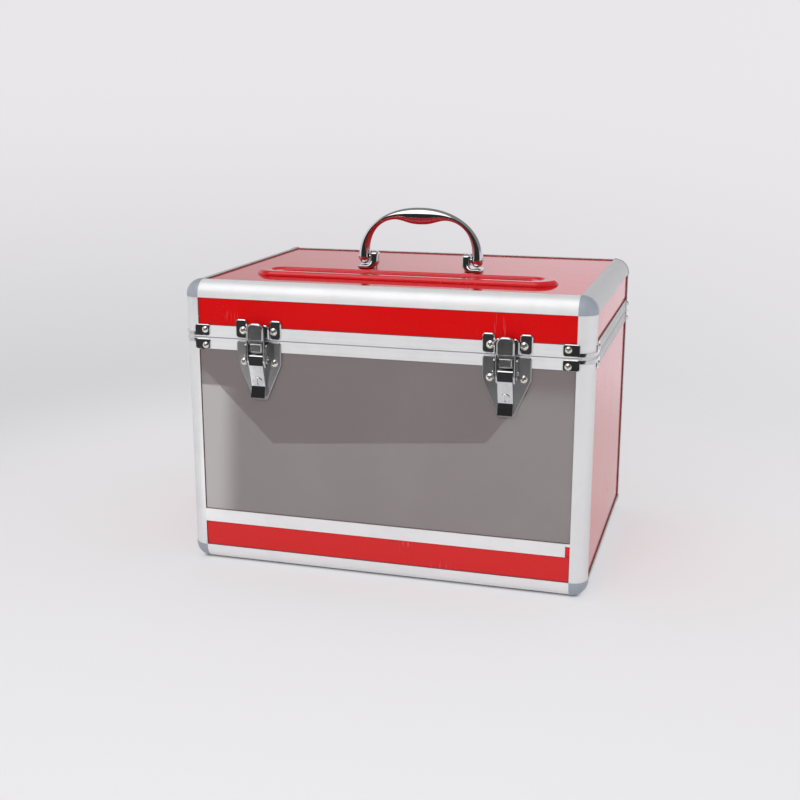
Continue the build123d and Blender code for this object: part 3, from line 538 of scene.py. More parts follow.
def bump(tree, shader, height, strength, distance):
    """Feeds a height to the shader's normal through a Bump node."""
    node = add(tree, "ShaderNodeBump", Strength=strength, Distance=distance)
    join(tree, height, node.inputs["Height"])
    join(tree, node.outputs["Normal"], shader.inputs["Normal"])


# %% [markdown]
# The red sheet is a hard gloss laminate. Seen straight on it is a deep, even red, and seen at
# a low angle it turns pink, because the gloss then mirrors the pale room. Dust, scuffs and a few
# dull patches keep it from looking like a mirror.


# %% Red gloss sheet
DUST_COLOUR = grey(0.7)
DUST_SHARE = 0.05
SCUFF_SHARE = 0.12
SCUFF_ROUGHNESS = 0.4
GLOSS_ROUGHNESS = 0.06
DULL_ROUGHNESS = 0.05
WAVE_STRENGTH, WAVE_DEPTH = 0.06, 0.002


def make_red_gloss(name, colour):
    """Dust and scuffs pale the colour, patches and scuffs dull it, and a slow wave bends it."""
    material, tree, shader = start_material(name, IOR=1.47)
    hands = use_group(tree, HANDLING, Patch_Scale=9.0, Dust_Scale=700.0)
    scuffs = use_group(tree, SCUFFS, Amount=0.5).outputs["Scuffs"]
    worn = math_node(tree, "MULTIPLY", scuffs, SCUFF_SHARE)
    specks = math_node(tree, "MULTIPLY_ADD", hands.outputs["Dust"], DUST_SHARE, worn)
    join(tree, mix_colour(tree, specks, colour, DUST_COLOUR), shader.inputs["Base Color"])
    patches = hands.outputs["Patches"]
    rough = math_node(tree, "MULTIPLY_ADD", patches, DULL_ROUGHNESS, GLOSS_ROUGHNESS)
    rough = math_node(tree, "MULTIPLY_ADD", scuffs, SCUFF_ROUGHNESS, rough)
    join(tree, rough, shader.inputs["Roughness"])
    wave = add(tree, "ShaderNodeTexNoise", Scale=22.0, Detail=1.0)
    coordinates = add(tree, "ShaderNodeTexCoord")
    join(tree, coordinates.outputs["Object"], wave.inputs["Vector"])
    bump(tree, shader, wave.outputs["Fac"], WAVE_STRENGTH, WAVE_DEPTH)
    return material


RED_SHEET = make_red_gloss("red_sheet", (0.65, 0.005, 0.006, 1.0))
RED_PLASTIC = make_red_gloss("red_plastic", (0.66, 0.012, 0.020, 1.0))
print("red finishes:", RED_SHEET.name, RED_PLASTIC.name)


# %% [markdown]
# The edge profiles are extruded aluminium, satin anodised. Light spreads in the oxide layer,
# so a fully metallic shader would be too dark in a dim room. The finish is part metallic, and
# its fine streaks run along each bar, so there is one material for each direction. Each
# direction also has its own painted shade: the bars along y and the posts are darker copies,
# for the lesser light that falls on them. Where lid and body meet, the shade in the gap is
# painted as a thin dark line on the outer faces only, from the height of a point and its
# distance from those faces.


# %% Satin aluminium
OUTER_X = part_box("body_post_front_right")[1].x
OUTER_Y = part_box("body_post_rear_right")[1].y
GAP_MIDDLE = (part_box("body_post_front_left")[1].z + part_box("lid_posts")[0].z) / 2
# painted shadow in the gap between lid and body: its two half widths and its grey
GAP_SHADE = (0.0002, 0.0006)
GAP_SHADOW_COLOUR = grey(0.32)
CLEAN, DULL, BLUE_CAST = 0.84, 0.80, 0.01
LONG, FINE = 25.0, 1600.0


def away_from_gap_shadow(tree):
    """0 on the painted shadow at the line between lid and body on the outer faces, 1 away from it.
    """
    _, x, y, z = place_parts(tree)
    above = math_node(tree, "SUBTRACT", z, GAP_MIDDLE)
    apart = ramp(tree, math_node(tree, "ABSOLUTE", above), *GAP_SHADE)
    inward_x = math_node(tree, "SUBTRACT", OUTER_X, math_node(tree, "ABSOLUTE", x))
    inward_y = math_node(tree, "SUBTRACT", OUTER_Y, math_node(tree, "ABSOLUTE", y))
    inward = ramp(tree, math_node(tree, "MINIMUM", inward_x, inward_y), *GAP_SHADE)
    return math_node(tree, "MAXIMUM", apart, inward)


def make_aluminium(name, stretch, shade):
    """Streaks stretched along the bar, patches a little duller, and a painted shade for its
    direction, which scales the whole colour.
    """
    material, tree, shader = start_material(name, Metallic=0.27, Specular_IOR_Level=0.03)
    lines = use_group(tree, STREAKS, Scale=stretch, Roughness=0.38, Spread=0.16)
    hands = use_group(tree, HANDLING, Patch_Scale=26.0, Dust_Scale=1100.0)
    clean, dull = (
        (shade * level, shade * level, shade * (level + BLUE_CAST), 1.0) for level in (CLEAN, DULL)
    )
    colour = mix_colour(tree, hands.outputs["Patches"], clean, dull)
    # painted shade: the grey of the gap line is laid over the colour
    colour = mix_colour(tree, away_from_gap_shadow(tree), GAP_SHADOW_COLOUR, colour)
    join(tree, colour, shader.inputs["Base Color"])
    join(tree, lines.outputs["Roughness"], shader.inputs["Roughness"])
    bump(tree, shader, lines.outputs["Height"], 0.12, GRAIN_DEPTH)
    return material


# the last number is painted shade: bars along y and the posts are darker copies of one finish
ALONG_X = make_aluminium("aluminium_along_x", (LONG, FINE, FINE), 1.0)
ALONG_Y_PAINTED_SHADE = make_aluminium("aluminium_along_y_painted_shade", (FINE, LONG, FINE), 0.73)
ALONG_Z_PAINTED_SHADE = make_aluminium("aluminium_along_z_painted_shade", (FINE, FINE, LONG), 0.92)
print("line between lid and body at", round(GAP_MIDDLE, 4), "m")


# %% [markdown]
# The ball corners are moulded in a cool grey plastic with a fine spark grain. The window is
# smoked acrylic: mostly a grey that hides the inside, a little see-through, with a clean gloss.


# %% Plastics
CLEAR_ROUGHNESS = 0.02
HAZE = 0.02


def make_grey_plastic(colour, dull):
    """An even spark grain in roughness and height, and slightly paler patches."""
    material, tree, shader = start_material("grey_plastic", IOR=1.5)
    grain = use_group(tree, STREAKS, Scale=(1500.0, 1500.0, 1500.0), Roughness=0.36, Spread=0.14)
    hands = use_group(tree, HANDLING, Patch_Scale=60.0, Dust_Scale=1300.0)
    shades = mix_colour(tree, hands.outputs["Patches"], colour, dull)
    join(tree, shades, shader.inputs["Base Color"])
    join(tree, grain.outputs["Roughness"], shader.inputs["Roughness"])
    bump(tree, shader, grain.outputs["Height"], 0.1, GRAIN_DEPTH)
    return material


def make_smoked_acrylic(colour, dull):
    """Half see-through with a clear coat; patches and light scuffs dull what lies under it."""
    material, tree, shader = start_material(
        "smoked_acrylic", IOR=1.49, Transmission_Weight=0.45, Coat_Weight=1.0, Coat_Roughness=0.02
    )
    hands = use_group(tree, HANDLING, Patch_Scale=6.0, Dust_Scale=800.0)
    shades = mix_colour(tree, hands.outputs["Patches"], colour, dull)
    join(tree, shades, shader.inputs["Base Color"])
    scuffs = use_group(tree, SCUFFS, Amount=0.3).outputs["Scuffs"]
    rough = math_node(tree, "MULTIPLY_ADD", hands.outputs["Patches"], HAZE, CLEAR_ROUGHNESS)
    rough = math_node(tree, "MULTIPLY_ADD", scuffs, SCUFF_ROUGHNESS, rough)
    join(tree, rough, shader.inputs["Roughness"])
    return material


GREY_PLASTIC = make_grey_plastic((0.31, 0.345, 0.395, 1.0), (0.35, 0.385, 0.435, 1.0))
ACRYLIC = make_smoked_acrylic((0.365, 0.32, 0.318, 1.0), (0.39, 0.345, 0.342, 1.0))
print("plastics:", GREY_PLASTIC.name, ACRYLIC.name)


# %% [markdown]
# Bright chrome is nearly a mirror. The pressed latch plates are nickel plated and satin, the
# hooks a finer satin chrome, the hinge leaves zinc plated, and the rivets plain aluminium with
# a warm cast. All differ only in colour, roughness and grain, so one function makes them, and
# also the dark red of the painted shadow lines along the seams, which isn't metallic.


# %% Plated metals and sealant
DULLER = 0.9


def make_metal(name, tint, rough, spread, grain, strength, metallic=1.0):
    """A tint with darker patches; roughness and bump from noise with a scale for each axis."""
    material, tree, shader = start_material(name, Metallic=metallic)
    lines = use_group(tree, STREAKS, Scale=grain, Roughness=rough, Spread=spread)
    hands = use_group(tree, HANDLING, Patch_Scale=120.0, Dust_Scale=1500.0)
    darker = tuple(channel * DULLER for channel in tint)
    shades = mix_colour(tree, hands.outputs["Patches"], (*tint, 1.0), (*darker, 1.0))
    join(tree, shades, shader.inputs["Base Color"])
    join(tree, lines.outputs["Roughness"], shader.inputs["Roughness"])
    bump(tree, shader, lines.outputs["Height"], strength, GRAIN_DEPTH)
    return material


# name, tint, roughness and its spread, grain along x, y and z, bump strength, metallic
CHROME = make_metal("chrome", (0.68, 0.68, 0.69), 0.07, 0.04, (400.0, 400.0, 400.0), 0.02)
NICKEL = make_metal("satin_nickel", (0.44, 0.44, 0.445), 0.30, 0.16, (2200.0, 300.0, 300.0), 0.15)
SATIN_CHROME = make_metal(
    "satin_chrome", (0.60, 0.60, 0.605), 0.22, 0.10, (1800.0, 500.0, 300.0), 0.08
)
ZINC = make_metal("zinc_plate", (0.66, 0.67, 0.68), 0.28, 0.1, (500.0, 500.0, 500.0), 0.08)
# painted shadow: the dark red of the lines where each sheet meets its profile
SEAM_SHADOW = make_metal("seam_shadow", (0.13, 0.045, 0.050), 0.55, 0.1, (900.0, 900.0, 900.0), 0.05, 0.0)
RIVET = make_metal("rivet_metal", (0.80, 0.765, 0.72), 0.17, 0.08, (900.0, 900.0, 900.0), 0.05, 0.9)
print("metals:", CHROME.name, NICKEL.name, SATIN_CHROME.name, ZINC.name, RIVET.name)

# %% [markdown]
# Each part of the frame gets its finish by name. Bars that lie along x, y or z get the
# aluminium whose streaks run that way, and for y and z its darker copy with painted shade, so
# the order of the list matters: the bars at the front and back are named first, and the words
# that follow catch the bars at the sides.

# %% Each part's finish
# The first entry whose words begin a part's name gives its finish.
FINISHES = [
    (("bottom_rail_front", "bottom_rail_back", "top_rail_front", "top_rail_back"), ALONG_X),
    (("body_rim_front", "body_rim_back", "lid_rim_front", "lid_rim_back", "window_trim"), ALONG_X),
    (("bottom_rail", "top_rail", "body_rim", "lid_rim"), ALONG_Y_PAINTED_SHADE),
    (("body_post", "lid_posts"), ALONG_Z_PAINTED_SHADE),
    (("bottom_corner_caps", "lid_corner_caps"), GREY_PLASTIC),
    (("window",), ACRYLIC),
    (("slot_surround",), RED_PLASTIC),
    (("body_rivets", "lid_rivets", "handle_screws"), RIVET),
    (("hinge",), ZINC),
    (("latch_base",), NICKEL),
    (("latch", "handle", "body_braces", "lid_braces"), CHROME),
    (("bottom_panel", "left_panel", "right_panel", "back_panel"), RED_SHEET),
    (("front_strip", "lid_panel"), RED_SHEET),
]


def finish_of(name):
    """The finish for a part's name."""
    for beginnings, material in FINISHES:
        if name.startswith(beginnings):
            return material
    raise KeyError(name)


for name, part in NODES.items():
    part.data.materials.clear()
    part.data.materials.append(finish_of(name))
print("parts with a finish:", len(NODES))

# %% [markdown]
# Some parts are drawn again as smooth surfaces, because their highlights show every facet. All
# of them come from the same two steps: rows of points are worked out as whole arrays, and the
# rows are then joined by faces, like the hoops and staves of a barrel.


# %% From rows of points to a mesh
def skin(grid, ring=False):
    """Points and faces of a grid whose rows are closed outlines. A ring joins its last row to
    its first; any other grid is shut by one flat face at each end."""
    rows, columns = grid.shape[:2]
    step = np.arange(columns)
    after = (step + 1) % columns
    start = np.arange(rows if ring else rows - 1)[:, None] * columns
    above = (start + columns) % (rows * columns)
    quads = np.stack([start + step, start + after, above + after, above + step], -1)
    faces = quads.reshape(-1, 4).tolist()
    if not ring:
        faces += [step[::-1].tolist(), (step + (rows - 1) * columns).tolist()]
    return grid.reshape(-1, 3), faces


def make_piece(name, parts, finish, body, stands_for, sharp=40.0):
    """One object from parts of points and faces, in place of the nodes it stands for."""
    points, faces, count = [], [], 0
    for part_points, part_faces in parts:
        points.append(part_points)
        faces += [[index + count for index in face] for face in part_faces]
        count += len(part_points)
    mesh = bpy.data.meshes.new(name)
    mesh.from_pydata(np.concatenate(points), [], faces)
    work = bmesh.new()
    work.from_mesh(mesh)
    bmesh.ops.remove_doubles(work, verts=work.verts, dist=1e-6)
    bmesh.ops.recalc_face_normals(work, faces=work.faces)
    work.to_mesh(mesh)
    work.free()
    mesh.polygons.foreach_set("use_smooth", np.ones(len(mesh.polygons), bool))
    mesh.set_sharp_from_angle(angle=math.radians(sharp))
    mesh.materials.append(finish)
    piece = bpy.data.objects.new(name, mesh)
    bpy.context.scene.collection.objects.link(piece)
    if stands_for:
        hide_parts(*stands_for)
    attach(piece, body)
    print(name, "faces:", len(mesh.polygons))
    return piece


def outline(corners, radii, inset=0.0, steps=9):
    """An outline with round corners, drawn in by an inset. Each corner's arc keeps its middle,
    and its radius loses the inset; a corner that points inward has a radius below nought."""
    corners = np.asarray(corners, float)
    radii = np.broadcast_to(radii, len(corners)).astype(float)
    runs = np.roll(corners, -1, 0) - corners
    runs /= np.linalg.norm(runs, axis=1)[:, None]
    leaving = np.stack([runs[:, 1], -runs[:, 0]], 1)
    arriving = np.roll(leaving, 1, 0)
    spread = arriving + leaving
    middles = corners - 2 * radii[:, None] * spread / (spread**2).sum(1)[:, None]
    cross = arriving[:, 0] * leaving[:, 1] - arriving[:, 1] * leaving[:, 0]
    turn = np.arctan2(cross, (arriving * leaving).sum(1))
    start = np.arctan2(arriving[:, 1], arriving[:, 0])
    angle = start[:, None] + turn[:, None] * np.linspace(0.0, 1.0, steps)
    round_edge = np.stack([np.cos(angle), np.sin(angle)], -1)
    return (middles[:, None] + (radii[:, None, None] - inset) * round_edge).reshape(-1, 2)


def soft_edge(back, front, edge):
    """Levels of inset and depth for a plate whose front edge is a slope with eased ends. Share
    is how far in a level lies, drop how far back, both as parts of the edge's width."""
    share = (0.0, 0.14, 0.86, 1.0, 1.1)
    drop = (1.0, 0.72, 0.12, 0.0, 0.0)
    return [(0.0, back)] + [(edge * s, front - edge * d) for s, d in zip(share, drop)]


def pressed(corners, radii, levels, place):
    """A pressed sheet part: one outline at levels of inset and depth. The function place turns
    the outline's two numbers and the depth into x, y and z."""
    rows = [outline(corners, radii, inset) for inset, _ in levels]
    depths = np.array([depth for _, depth in levels])
    flat = np.stack(rows)
    return skin(place(flat[..., 0], flat[..., 1], np.broadcast_to(depths[:, None], flat.shape[:2])))


def smooth(value):
    """A value from 0 to 1 eased at both ends: 3 v v - 2 v v v."""
    value = np.clip(value, 0.0, 1.0)
    return value * value * (3.0 - 2.0 * value)


# %% [markdown]
# Where a sheet enters its profile there is a dark line: the groove is a little wider than the
# sheet, and shade falls in the corner. That shade is painted: each line is a thin dark strip,
# a rectangle of square section, laid round the opening that the profiles leave free.

# %% Painted shadow lines round the sheets
# the size of each painted shadow line
SEAM_SHADOW_WIDTH = 0.0005
SEAM_SHADOW_HEIGHT = 0.0007
POST_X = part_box("body_rim_front")[1].x
POST_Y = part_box("body_rim_right")[1].y
SHEET_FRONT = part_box("front_strip")[0].y
TRIM_LOW, TRIM_HIGH = (corner.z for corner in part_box("window_trim"))
BODY_SEAMS = (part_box("bottom_rail_front")[1].z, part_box("body_rim_front")[0].z)
LID_SEAMS = (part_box("lid_rim_front")[1].z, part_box("top_rail_front")[0].z)


def shadow_strip(low, high, face, outward, place):
    """A closed strip of painted shadow round a rectangle, from the sheet's face outward: a profile
    of four points, each a rectangle drawn in by an inset and raised to a depth."""
    profile = ((0.0, 0.0), (0.0, SEAM_SHADOW_HEIGHT), (SEAM_SHADOW_WIDTH / 2, SEAM_SHADOW_HEIGHT), (SEAM_SHADOW_WIDTH, 0.0))
    rows = []
    for inset, depth in profile:
        (a, b), (c, d) = low + inset, high - inset
        flat = np.array([(a, b), (c, b), (c, d), (a, d)])
        rows.append(place(flat[:, 0], flat[:, 1], np.full(4, face + outward * depth)))
    return skin(np.stack(rows), ring=True)


def on_x(a, b, depth):
    """Places a flat outline on a side face: a along y, b up."""
    return np.stack([depth, a, b], -1)


def on_y(a, b, depth):
    """Places a flat outline on the front or back: a along x, b up."""
    return np.stack([a, depth, b], -1)


def on_z(a, b, depth):
    """Places a flat outline on the top: a along x, b along y."""
    return np.stack([a, b, depth], -1)


def side_shadow_strips(left, right, back, low, high):
    """Strips of painted shadow round the left, right and back sheets between two heights."""
    sides = np.array([-POST_Y, low]), np.array([POST_Y, high])
    rear = np.array([-POST_X, low]), np.array([POST_X, high])
    return [
        shadow_strip(*sides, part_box(left)[0].x, -1, on_x),
        shadow_strip(*sides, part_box(right)[1].x, 1, on_x),
        shadow_strip(*rear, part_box(back)[1].y, 1, on_y),
    ]


def front_shadow_strip(low, high):
    """A strip of painted shadow on the front between two heights."""
    return shadow_strip(np.array([-POST_X, low]), np.array([POST_X, high]), SHEET_FRONT, -1, on_y)


def top_shadow_strip():
    """A strip of painted shadow round the sheet on top of the lid."""
    corner = np.array([POST_X, POST_Y])
    return shadow_strip(-corner, corner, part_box("lid_panel_top")[1].z, 1, on_z)


# painted shadow lines round the sheets of the body and of the lid
body_shadow_strips = side_shadow_strips("left_panel", "right_panel", "back_panel", *BODY_SEAMS)
body_shadow_strips += [front_shadow_strip(BODY_SEAMS[0], TRIM_LOW), front_shadow_strip(TRIM_HIGH, BODY_SEAMS[1])]
make_piece("body_seam_shadows", body_shadow_strips, SEAM_SHADOW, "body", [])
lid_shadow_strips = side_shadow_strips("lid_panel_left", "lid_panel_right", "lid_panel_back", *LID_SEAMS)
lid_shadow_strips += [front_shadow_strip(*LID_SEAMS), top_shadow_strip()]
make_piece("lid_seam_shadows", lid_shadow_strips, SEAM_SHADOW, "lid", [])


# %% [markdown]
# The raised ring round the letter slot is one moulding: a low wall, a round shoulder that
# catches the light, a flat crown, an eased step down to a shallow tray and the slot through it.
# It is a row of stadium outlines, each with its own length, width and height, joined in a ring.

# %% Ring round the letter slot
RING_LOW, RING_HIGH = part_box("slot_surround")
LID_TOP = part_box("lid_panel_top")[1].z
RING_LENGTHS = (RING_HIGH.x - RING_LOW.x, 0.246, 0.230, 0.234)
RING_WIDTHS = (RING_HIGH.y - RING_LOW.y, 0.020, 0.008, 0.012)
RING_HEIGHT = RING_HIGH.z - LID_TOP
TRAY_DEPTH = 0.0016
SHOULDER = (0.02, 0.04, 0.075, 0.12, 0.165, 0.21, 0.26, 0.33)
SHOULDER_RISE = (0.42, 0.50, 0.60, 0.73, 0.85, 0.94, 0.985, 1.0)
CROWN_END = 0.76
CROWN_STEPS = 8
END_STEPS = 17
UNDERSIDE, UNDERSIDE_HEIGHTS = (2.9, 0.05, 0.0), (0.0, 0.0, 0.0002)
SLOT_LIP, LIP_DROPS = (1.9, 1.97, 2.0), (0.0, 0.0002, 0.0008)
SLOT_WALL = (2.0, 3.0)


def slot_ring():
    """Stations go from 0, the outer foot, to 1, the tray, 2, the slot's lip and 3, its back.
    Each gives a stadium's length and width, and the heights are listed beside them."""
    step = np.linspace(0.0, 1.0, CROWN_STEPS)
    tray = RING_HEIGHT - TRAY_DEPTH
    foot = RING_LOW.z - LID_TOP
    crown = CROWN_END + (1 - CROWN_END) * step
    stations = np.concatenate([UNDERSIDE, SHOULDER, crown, SLOT_LIP, SLOT_WALL])
    heights = np.concatenate([
        UNDERSIDE_HEIGHTS,
        RING_HEIGHT * np.array(SHOULDER_RISE),
        RING_HEIGHT - TRAY_DEPTH * smooth(step),
        tray - np.array(LIP_DROPS),
        [foot, foot],
    ])
    lengths = np.interp(stations, range(4), RING_LENGTHS)
    widths = np.interp(stations, range(4), RING_WIDTHS)
    middle = (RING_LOW.y + RING_HIGH.y) / 2
    rows = []
    for a, b, height in zip(lengths / 2, widths / 2, LID_TOP + heights):
        flat = outline([(-a, -b), (a, -b), (a, b), (-a, b)], b, 0.0, END_STEPS)
        rows.append(on_z(flat[:, 0], flat[:, 1] + middle, np.full(len(flat), height)))
    return skin(np.stack(rows), ring=True)


make_piece("slot_ring", [slot_ring()], RED_PLASTIC, "lid", ["slot_surround"])


# %% [markdown]
# The handle is a die-cast arch: thin at the shoulders, deep at the grip, with a round boss at
# each foot. Its outer line is a superellipse. Ovals stand across that line, each half its depth
# inside it, and below the pivot they shrink to close the boss.

# %% Handle
HANDLE_LOW, HANDLE_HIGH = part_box("handle")
PIVOT_Z = next(j for j in frame["joints"] if j["name"] == "handle_fold")["pos_m"][2]
ARCH_HALF_WIDTH = HANDLE_HIGH.x
ARCH_RISE = HANDLE_HIGH.z - PIVOT_Z
ARCH_POWER = 2 / 2.1
GRIP_DEPTH = 0.0154
TURN_SHARES = (0.02, 0.075, 0.13, 0.185, 0.24, 0.295, 0.355, 0.385, 0.42, 0.46, 0.5)
DEPTH_SHARES = (0.68, 0.60, 0.51, 0.40, 0.335, 0.345, 0.47, 0.62, 0.84, 0.99, 1.02)
BREADTH_SHARES = (0.78, 0.72, 0.68, 0.62, 0.60, 0.66, 0.76, 0.83, 0.93, 1.0, 1.02)
BOSS = (0.0054, 0.0063)
BOSS_TURN = 1.45
BOSS_LIFT = 0.3
ARCH_STEPS, BOSS_STEPS, OVAL_STEPS = 121, 12, 40
SOFTENING = np.hanning(13)[1:-1]


def eased(where, stations, values):
    """Values between stations, without kinks: a straight fill-in, then a weighted running mean."""
    plain = np.interp(where, stations, values)
    padded = np.pad(plain, len(SOFTENING) // 2, mode="edge")
    return np.convolve(padded, SOFTENING / SOFTENING.sum(), mode="valid")


def add_bosses(middle, across, depth, breadth):
    """Rows that close each foot in a round boss: ovals whose size is the cosine, and whose drop
    is the sine, of an angle that runs from the pivot down."""
    boss_x, boss_y = BOSS
    turn = np.linspace(BOSS_TURN, 0.0, BOSS_STEPS)
    rows = [middle, across, depth, breadth]
    for side in (-1, 1):
        foot = middle[0] if side < 0 else middle[-1]
        x = np.full(BOSS_STEPS, side * (ARCH_HALF_WIDTH - boss_x))
        run = np.stack([x, -boss_y * np.sin(turn)], 1)
        run[-1, 1] = foot[1] * BOSS_LIFT
        facing = np.tile([float(side), 0.0], (BOSS_STEPS, 1))
        boss = (run, facing, 2 * boss_x * np.cos(turn), 2 * boss_y * np.cos(turn))
        if side < 0:
            rows = [np.concatenate([part, row]) for part, row in zip(boss, rows)]
        else:
            rows = [np.concatenate([row, part[::-1]]) for part, row in zip(boss, rows)]
    return rows


def handle_arch():
    """x = -a |cos t|^p and z = b sin^p t for the outer line, with ovals square to it."""
    share = np.linspace(TURN_SHARES[0], 1 - TURN_SHARES[0], ARCH_STEPS)
    mirrored = np.minimum(share, 1 - share)
    depth = GRIP_DEPTH * eased(mirrored, TURN_SHARES, DEPTH_SHARES)
    breadth = GRIP_DEPTH * eased(mirrored, TURN_SHARES, BREADTH_SHARES)
    cosine, sine = np.cos(math.pi * share), np.sin(math.pi * share)
    x = -ARCH_HALF_WIDTH * np.sign(cosine) * np.abs(cosine) ** ARCH_POWER
    z = ARCH_RISE * sine**ARCH_POWER
    across = np.stack([x / ARCH_HALF_WIDTH**2, z / ARCH_RISE**2], 1)
    across /= np.linalg.norm(across, axis=1)[:, None]
    middle = np.stack([x, z], 1) - across * depth[:, None] / 2
    middle, across, depth, breadth = add_bosses(middle, across, depth, breadth)
    angle = np.linspace(0.0, 2 * math.pi, OVAL_STEPS, endpoint=False)
    reach = depth[:, None] / 2 * np.cos(angle)
    return np.stack([
        middle[:, :1] + across[:, :1] * reach,
        breadth[:, None] / 2 * np.sin(angle),
        PIVOT_Z + middle[:, 1:] + across[:, 1:] * reach,
    ], -1)


arch = [skin(handle_arch())]
make_piece("arched_handle", arch, CHROME, "handle", ["handle"], sharp=60.0)


# %% [markdown]
# A bracket stands beside each foot: a thick strap that lies under the boss and turns up to an
# ear with the pin in it. It is a rounded section carried along a path with one round bend, and
# the section grows from the flat foot to the stout ear.

# %% Handle brackets
BRACKET_LOW, BRACKET_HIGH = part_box("handle_brackets")
EAR_MIDDLE = 0.0441
BEND = 0.0055
FOOT_THICK = 0.0036
EAR_THICK = 0.0078
EAR_BREADTH = 0.0126
SECTION_POWER = 0.55
EAR_TAPER = 0.0045
FOOT_CLOSE, EAR_CLOSE = 0.0016, 0.0026
END_SHARE = 0.98
BREADTH_KEPT = 0.8
PATH_STEPS = 14


def bracket_path():
    """x and z of a run along the lid, a quarter turn and a run up to the top of the ear."""
    base = LID_TOP + FOOT_THICK / 2
    along = np.linspace(0.0, 1.0, PATH_STEPS)
    quarter = np.linspace(0.0, math.pi / 2, PATH_STEPS)[1:]
    run_x = ARCH_HALF_WIDTH + (EAR_MIDDLE + BEND - ARCH_HALF_WIDTH) * along
    turn_x = EAR_MIDDLE + BEND * (1 - np.sin(quarter))
    turn_z = base + BEND * (1 - np.cos(quarter))
    rise_z = np.linspace(turn_z[-1], BRACKET_HIGH.z, PATH_STEPS + 1)[1:]
    x = np.concatenate([run_x, turn_x, np.full(PATH_STEPS, EAR_MIDDLE)])
    return x, np.concatenate([np.full(PATH_STEPS, base), turn_z, rise_z])


def bracket(side):
    """Sections |cos|^q and |sin|^q carried along the path. They grow from the flat foot to the
    stout ear, taper towards its top, and shrink at both ends like the edge of a circle."""
    x, z = bracket_path()
    tangent = np.stack([np.gradient(x), np.gradient(z)], 1)
    tangent /= np.linalg.norm(tangent, axis=1)[:, None]
    normal = np.stack([tangent[:, 1], -tangent[:, 0]], 1)
    length = np.concatenate([[0.0], np.cumsum(np.hypot(np.diff(x), np.diff(z)))])
    foot, ear = length[PATH_STEPS - 2], length[2 * PATH_STEPS - 2]
    taper = length[2 * PATH_STEPS - 4]
    grow = smooth((length - foot) / (ear - foot))
    thick = FOOT_THICK + (EAR_THICK - FOOT_THICK) * grow
    broad = (BRACKET_HIGH.y - BRACKET_LOW.y) * (1 - grow) + EAR_BREADTH * grow
    broad -= EAR_TAPER * np.clip((length - taper) / (length[-1] - taper), 0.0, 1.0)
    from_end = np.minimum(length / FOOT_CLOSE, (length[-1] - length) / EAR_CLOSE)
    near_end = np.clip(1 - from_end, 0.0, 1.0)
    close = np.sqrt(np.clip(1 - END_SHARE * near_end**2, 0.0, 1.0))
    angle = np.linspace(0.0, 2 * math.pi, OVAL_STEPS, endpoint=False)
    out = np.sign(np.cos(angle)) * np.abs(np.cos(angle)) ** SECTION_POWER
    wide = np.sign(np.sin(angle)) * np.abs(np.sin(angle)) ** SECTION_POWER
    across = (thick * close / 2)[:, None] * out
    breadth = broad * (BREADTH_KEPT + (1 - BREADTH_KEPT) * close) * close / 2
    return skin(np.stack([
        side * (x[:, None] + normal[:, :1] * across),
        breadth[:, None] * wide,
        z[:, None] + normal[:, 1:] * across,
    ], -1))


mounts = [bracket(-1), bracket(1)]
make_piece("handle_mounts", mounts, CHROME, "lid", ["handle_brackets"], sharp=60.0)


# %% [markdown]
# The hook of each latch is a pressed strap. A deep hood hangs over the keeper, a gap below it
# shows the plain strap, and two arms run down to the hook's pin. Every front edge is sloped, so
# that the upper ones catch the soft box and the lower ones the pale floor.

# %% Latch hooks
# Widths are half widths, depths are in front of the body's front, heights above the floor.
FRONT_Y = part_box("body_rim_front")[0].y
HOOK_SHEET = 0.0015
HOOD_HALF_WIDTH = 0.0076
HOOD_LOW = 0.2078
HOOD_BACK, HOOD_FRONT = 0.004, 0.0095
HOOD_RADII = (0.0017, 0.0017, 0.0056, 0.0056)
HOOD_EDGE = 0.0013
STRAP_HALF_WIDTH = 0.0064
STRAP_LOW, STRAP_HIGH = 0.1976, HOOD_LOW - 0.0012
STRAP_FRONT = 0.0085
STRAP_BACK = STRAP_FRONT - HOOK_SHEET
STRAP_RADIUS, STRAP_EDGE = 0.0017, 0.0016
INSIDE_HOOD = HOOD_LOW + 0.001
NECK_LOW = STRAP_LOW + 0.002
NECK_RADIUS, NECK_EDGE = 0.0005, 0.0003
EYE_RADIUS, EYE_OUT, EYE_Z = 0.0023, 0.0046, 0.1866
KNEE_Z = EYE_Z + 0.0039
ARM_INNER, ARM_OUTER, ARM_EDGE = 0.0066, 0.0081, 0.0004
ARM_BACK, ARM_FRONT = 0.0071, HOOD_FRONT - 0.0008
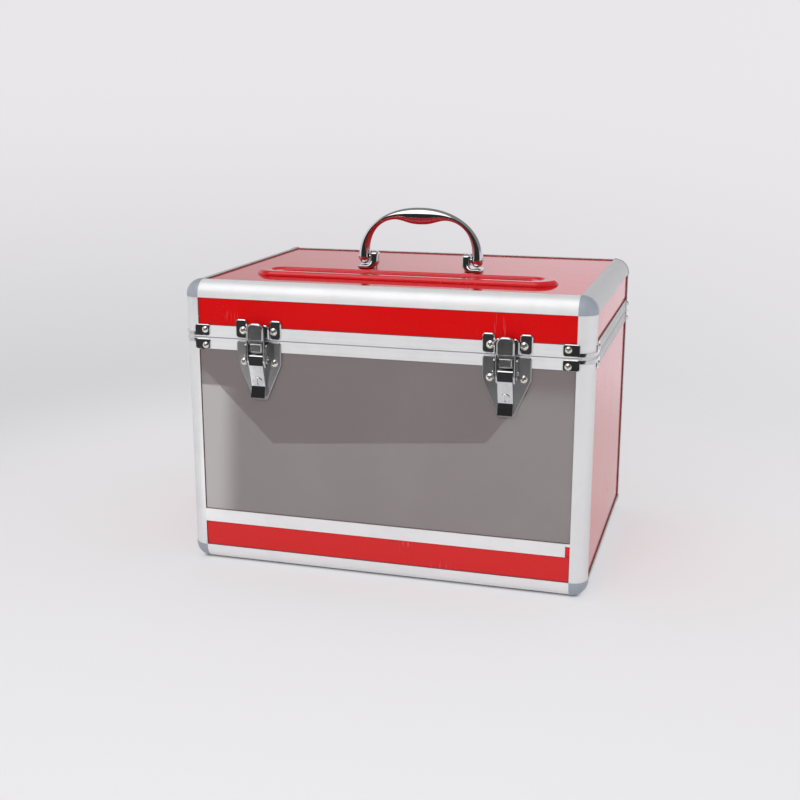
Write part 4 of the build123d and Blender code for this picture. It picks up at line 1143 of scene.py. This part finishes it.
ARM = [
    (EYE_OUT + 0.0012, EYE_Z - EYE_RADIUS),
    (ARM_FRONT, KNEE_Z),
    (ARM_FRONT, INSIDE_HOOD),
    (ARM_BACK, INSIDE_HOOD),
    (ARM_BACK, KNEE_Z + 0.0004),
    (EYE_OUT - EYE_RADIUS, EYE_Z + 0.0008),
    (EYE_OUT - EYE_RADIUS, EYE_Z - EYE_RADIUS),
]
ARM_RADII = (0.001, 0.002, 0.0005, 0.0005, -0.001, 0.0006, 0.0016)


def upright(half_width, low, high):
    """The corners of an upright rectangle, from the lower left one round."""
    return [(-half_width, low), (half_width, low), (half_width, high), (-half_width, high)]


def latch_hook(middle_x, high):
    """Hood, strap, neck behind the gap, and two arms with eyes, as pressed outlines. The plates
    lie in x and z, and the arms, whose depth runs outward, in y and z."""
    def front(a, b, depth):
        return np.stack([middle_x + a, FRONT_Y - depth, b], -1)

    cup = [(HOOK_SHEET, HOOD_FRONT - HOOK_SHEET), (HOOK_SHEET, HOOD_BACK)]
    hood_levels = cup + soft_edge(HOOD_BACK, HOOD_FRONT, HOOD_EDGE)
    strap_levels = soft_edge(STRAP_BACK, STRAP_FRONT, STRAP_EDGE)
    neck_levels = soft_edge(STRAP_BACK - HOOK_SHEET, STRAP_BACK, NECK_EDGE)
    arm_levels = soft_edge(ARM_INNER, ARM_OUTER, ARM_EDGE)
    strap = upright(STRAP_HALF_WIDTH, STRAP_LOW, STRAP_HIGH)
    neck = upright(STRAP_HALF_WIDTH, NECK_LOW, INSIDE_HOOD)
    parts = [
        pressed(upright(HOOD_HALF_WIDTH, HOOD_LOW, high), HOOD_RADII, hood_levels, front),
        pressed(strap, STRAP_RADIUS, strap_levels, front),
        pressed(neck, NECK_RADIUS, neck_levels, front),
    ]
    for side in (-1, 1):
        def outward(a, b, depth, side=side):
            return np.stack([middle_x + side * depth, FRONT_Y - a, b], -1)

        parts.append(pressed(ARM, ARM_RADII, arm_levels, outward))
    return parts


for side in ("left", "right"):
    node = f"latch_hook_{side}"
    hook_low, hook_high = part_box(node)
    parts = latch_hook((hook_low.x + hook_high.x) / 2, hook_high.z)
    name, body = f"pressed_hook_{side}", f"hook_{side}"
    make_piece(name, parts, SATIN_CHROME, body, [node], sharp=25.0)
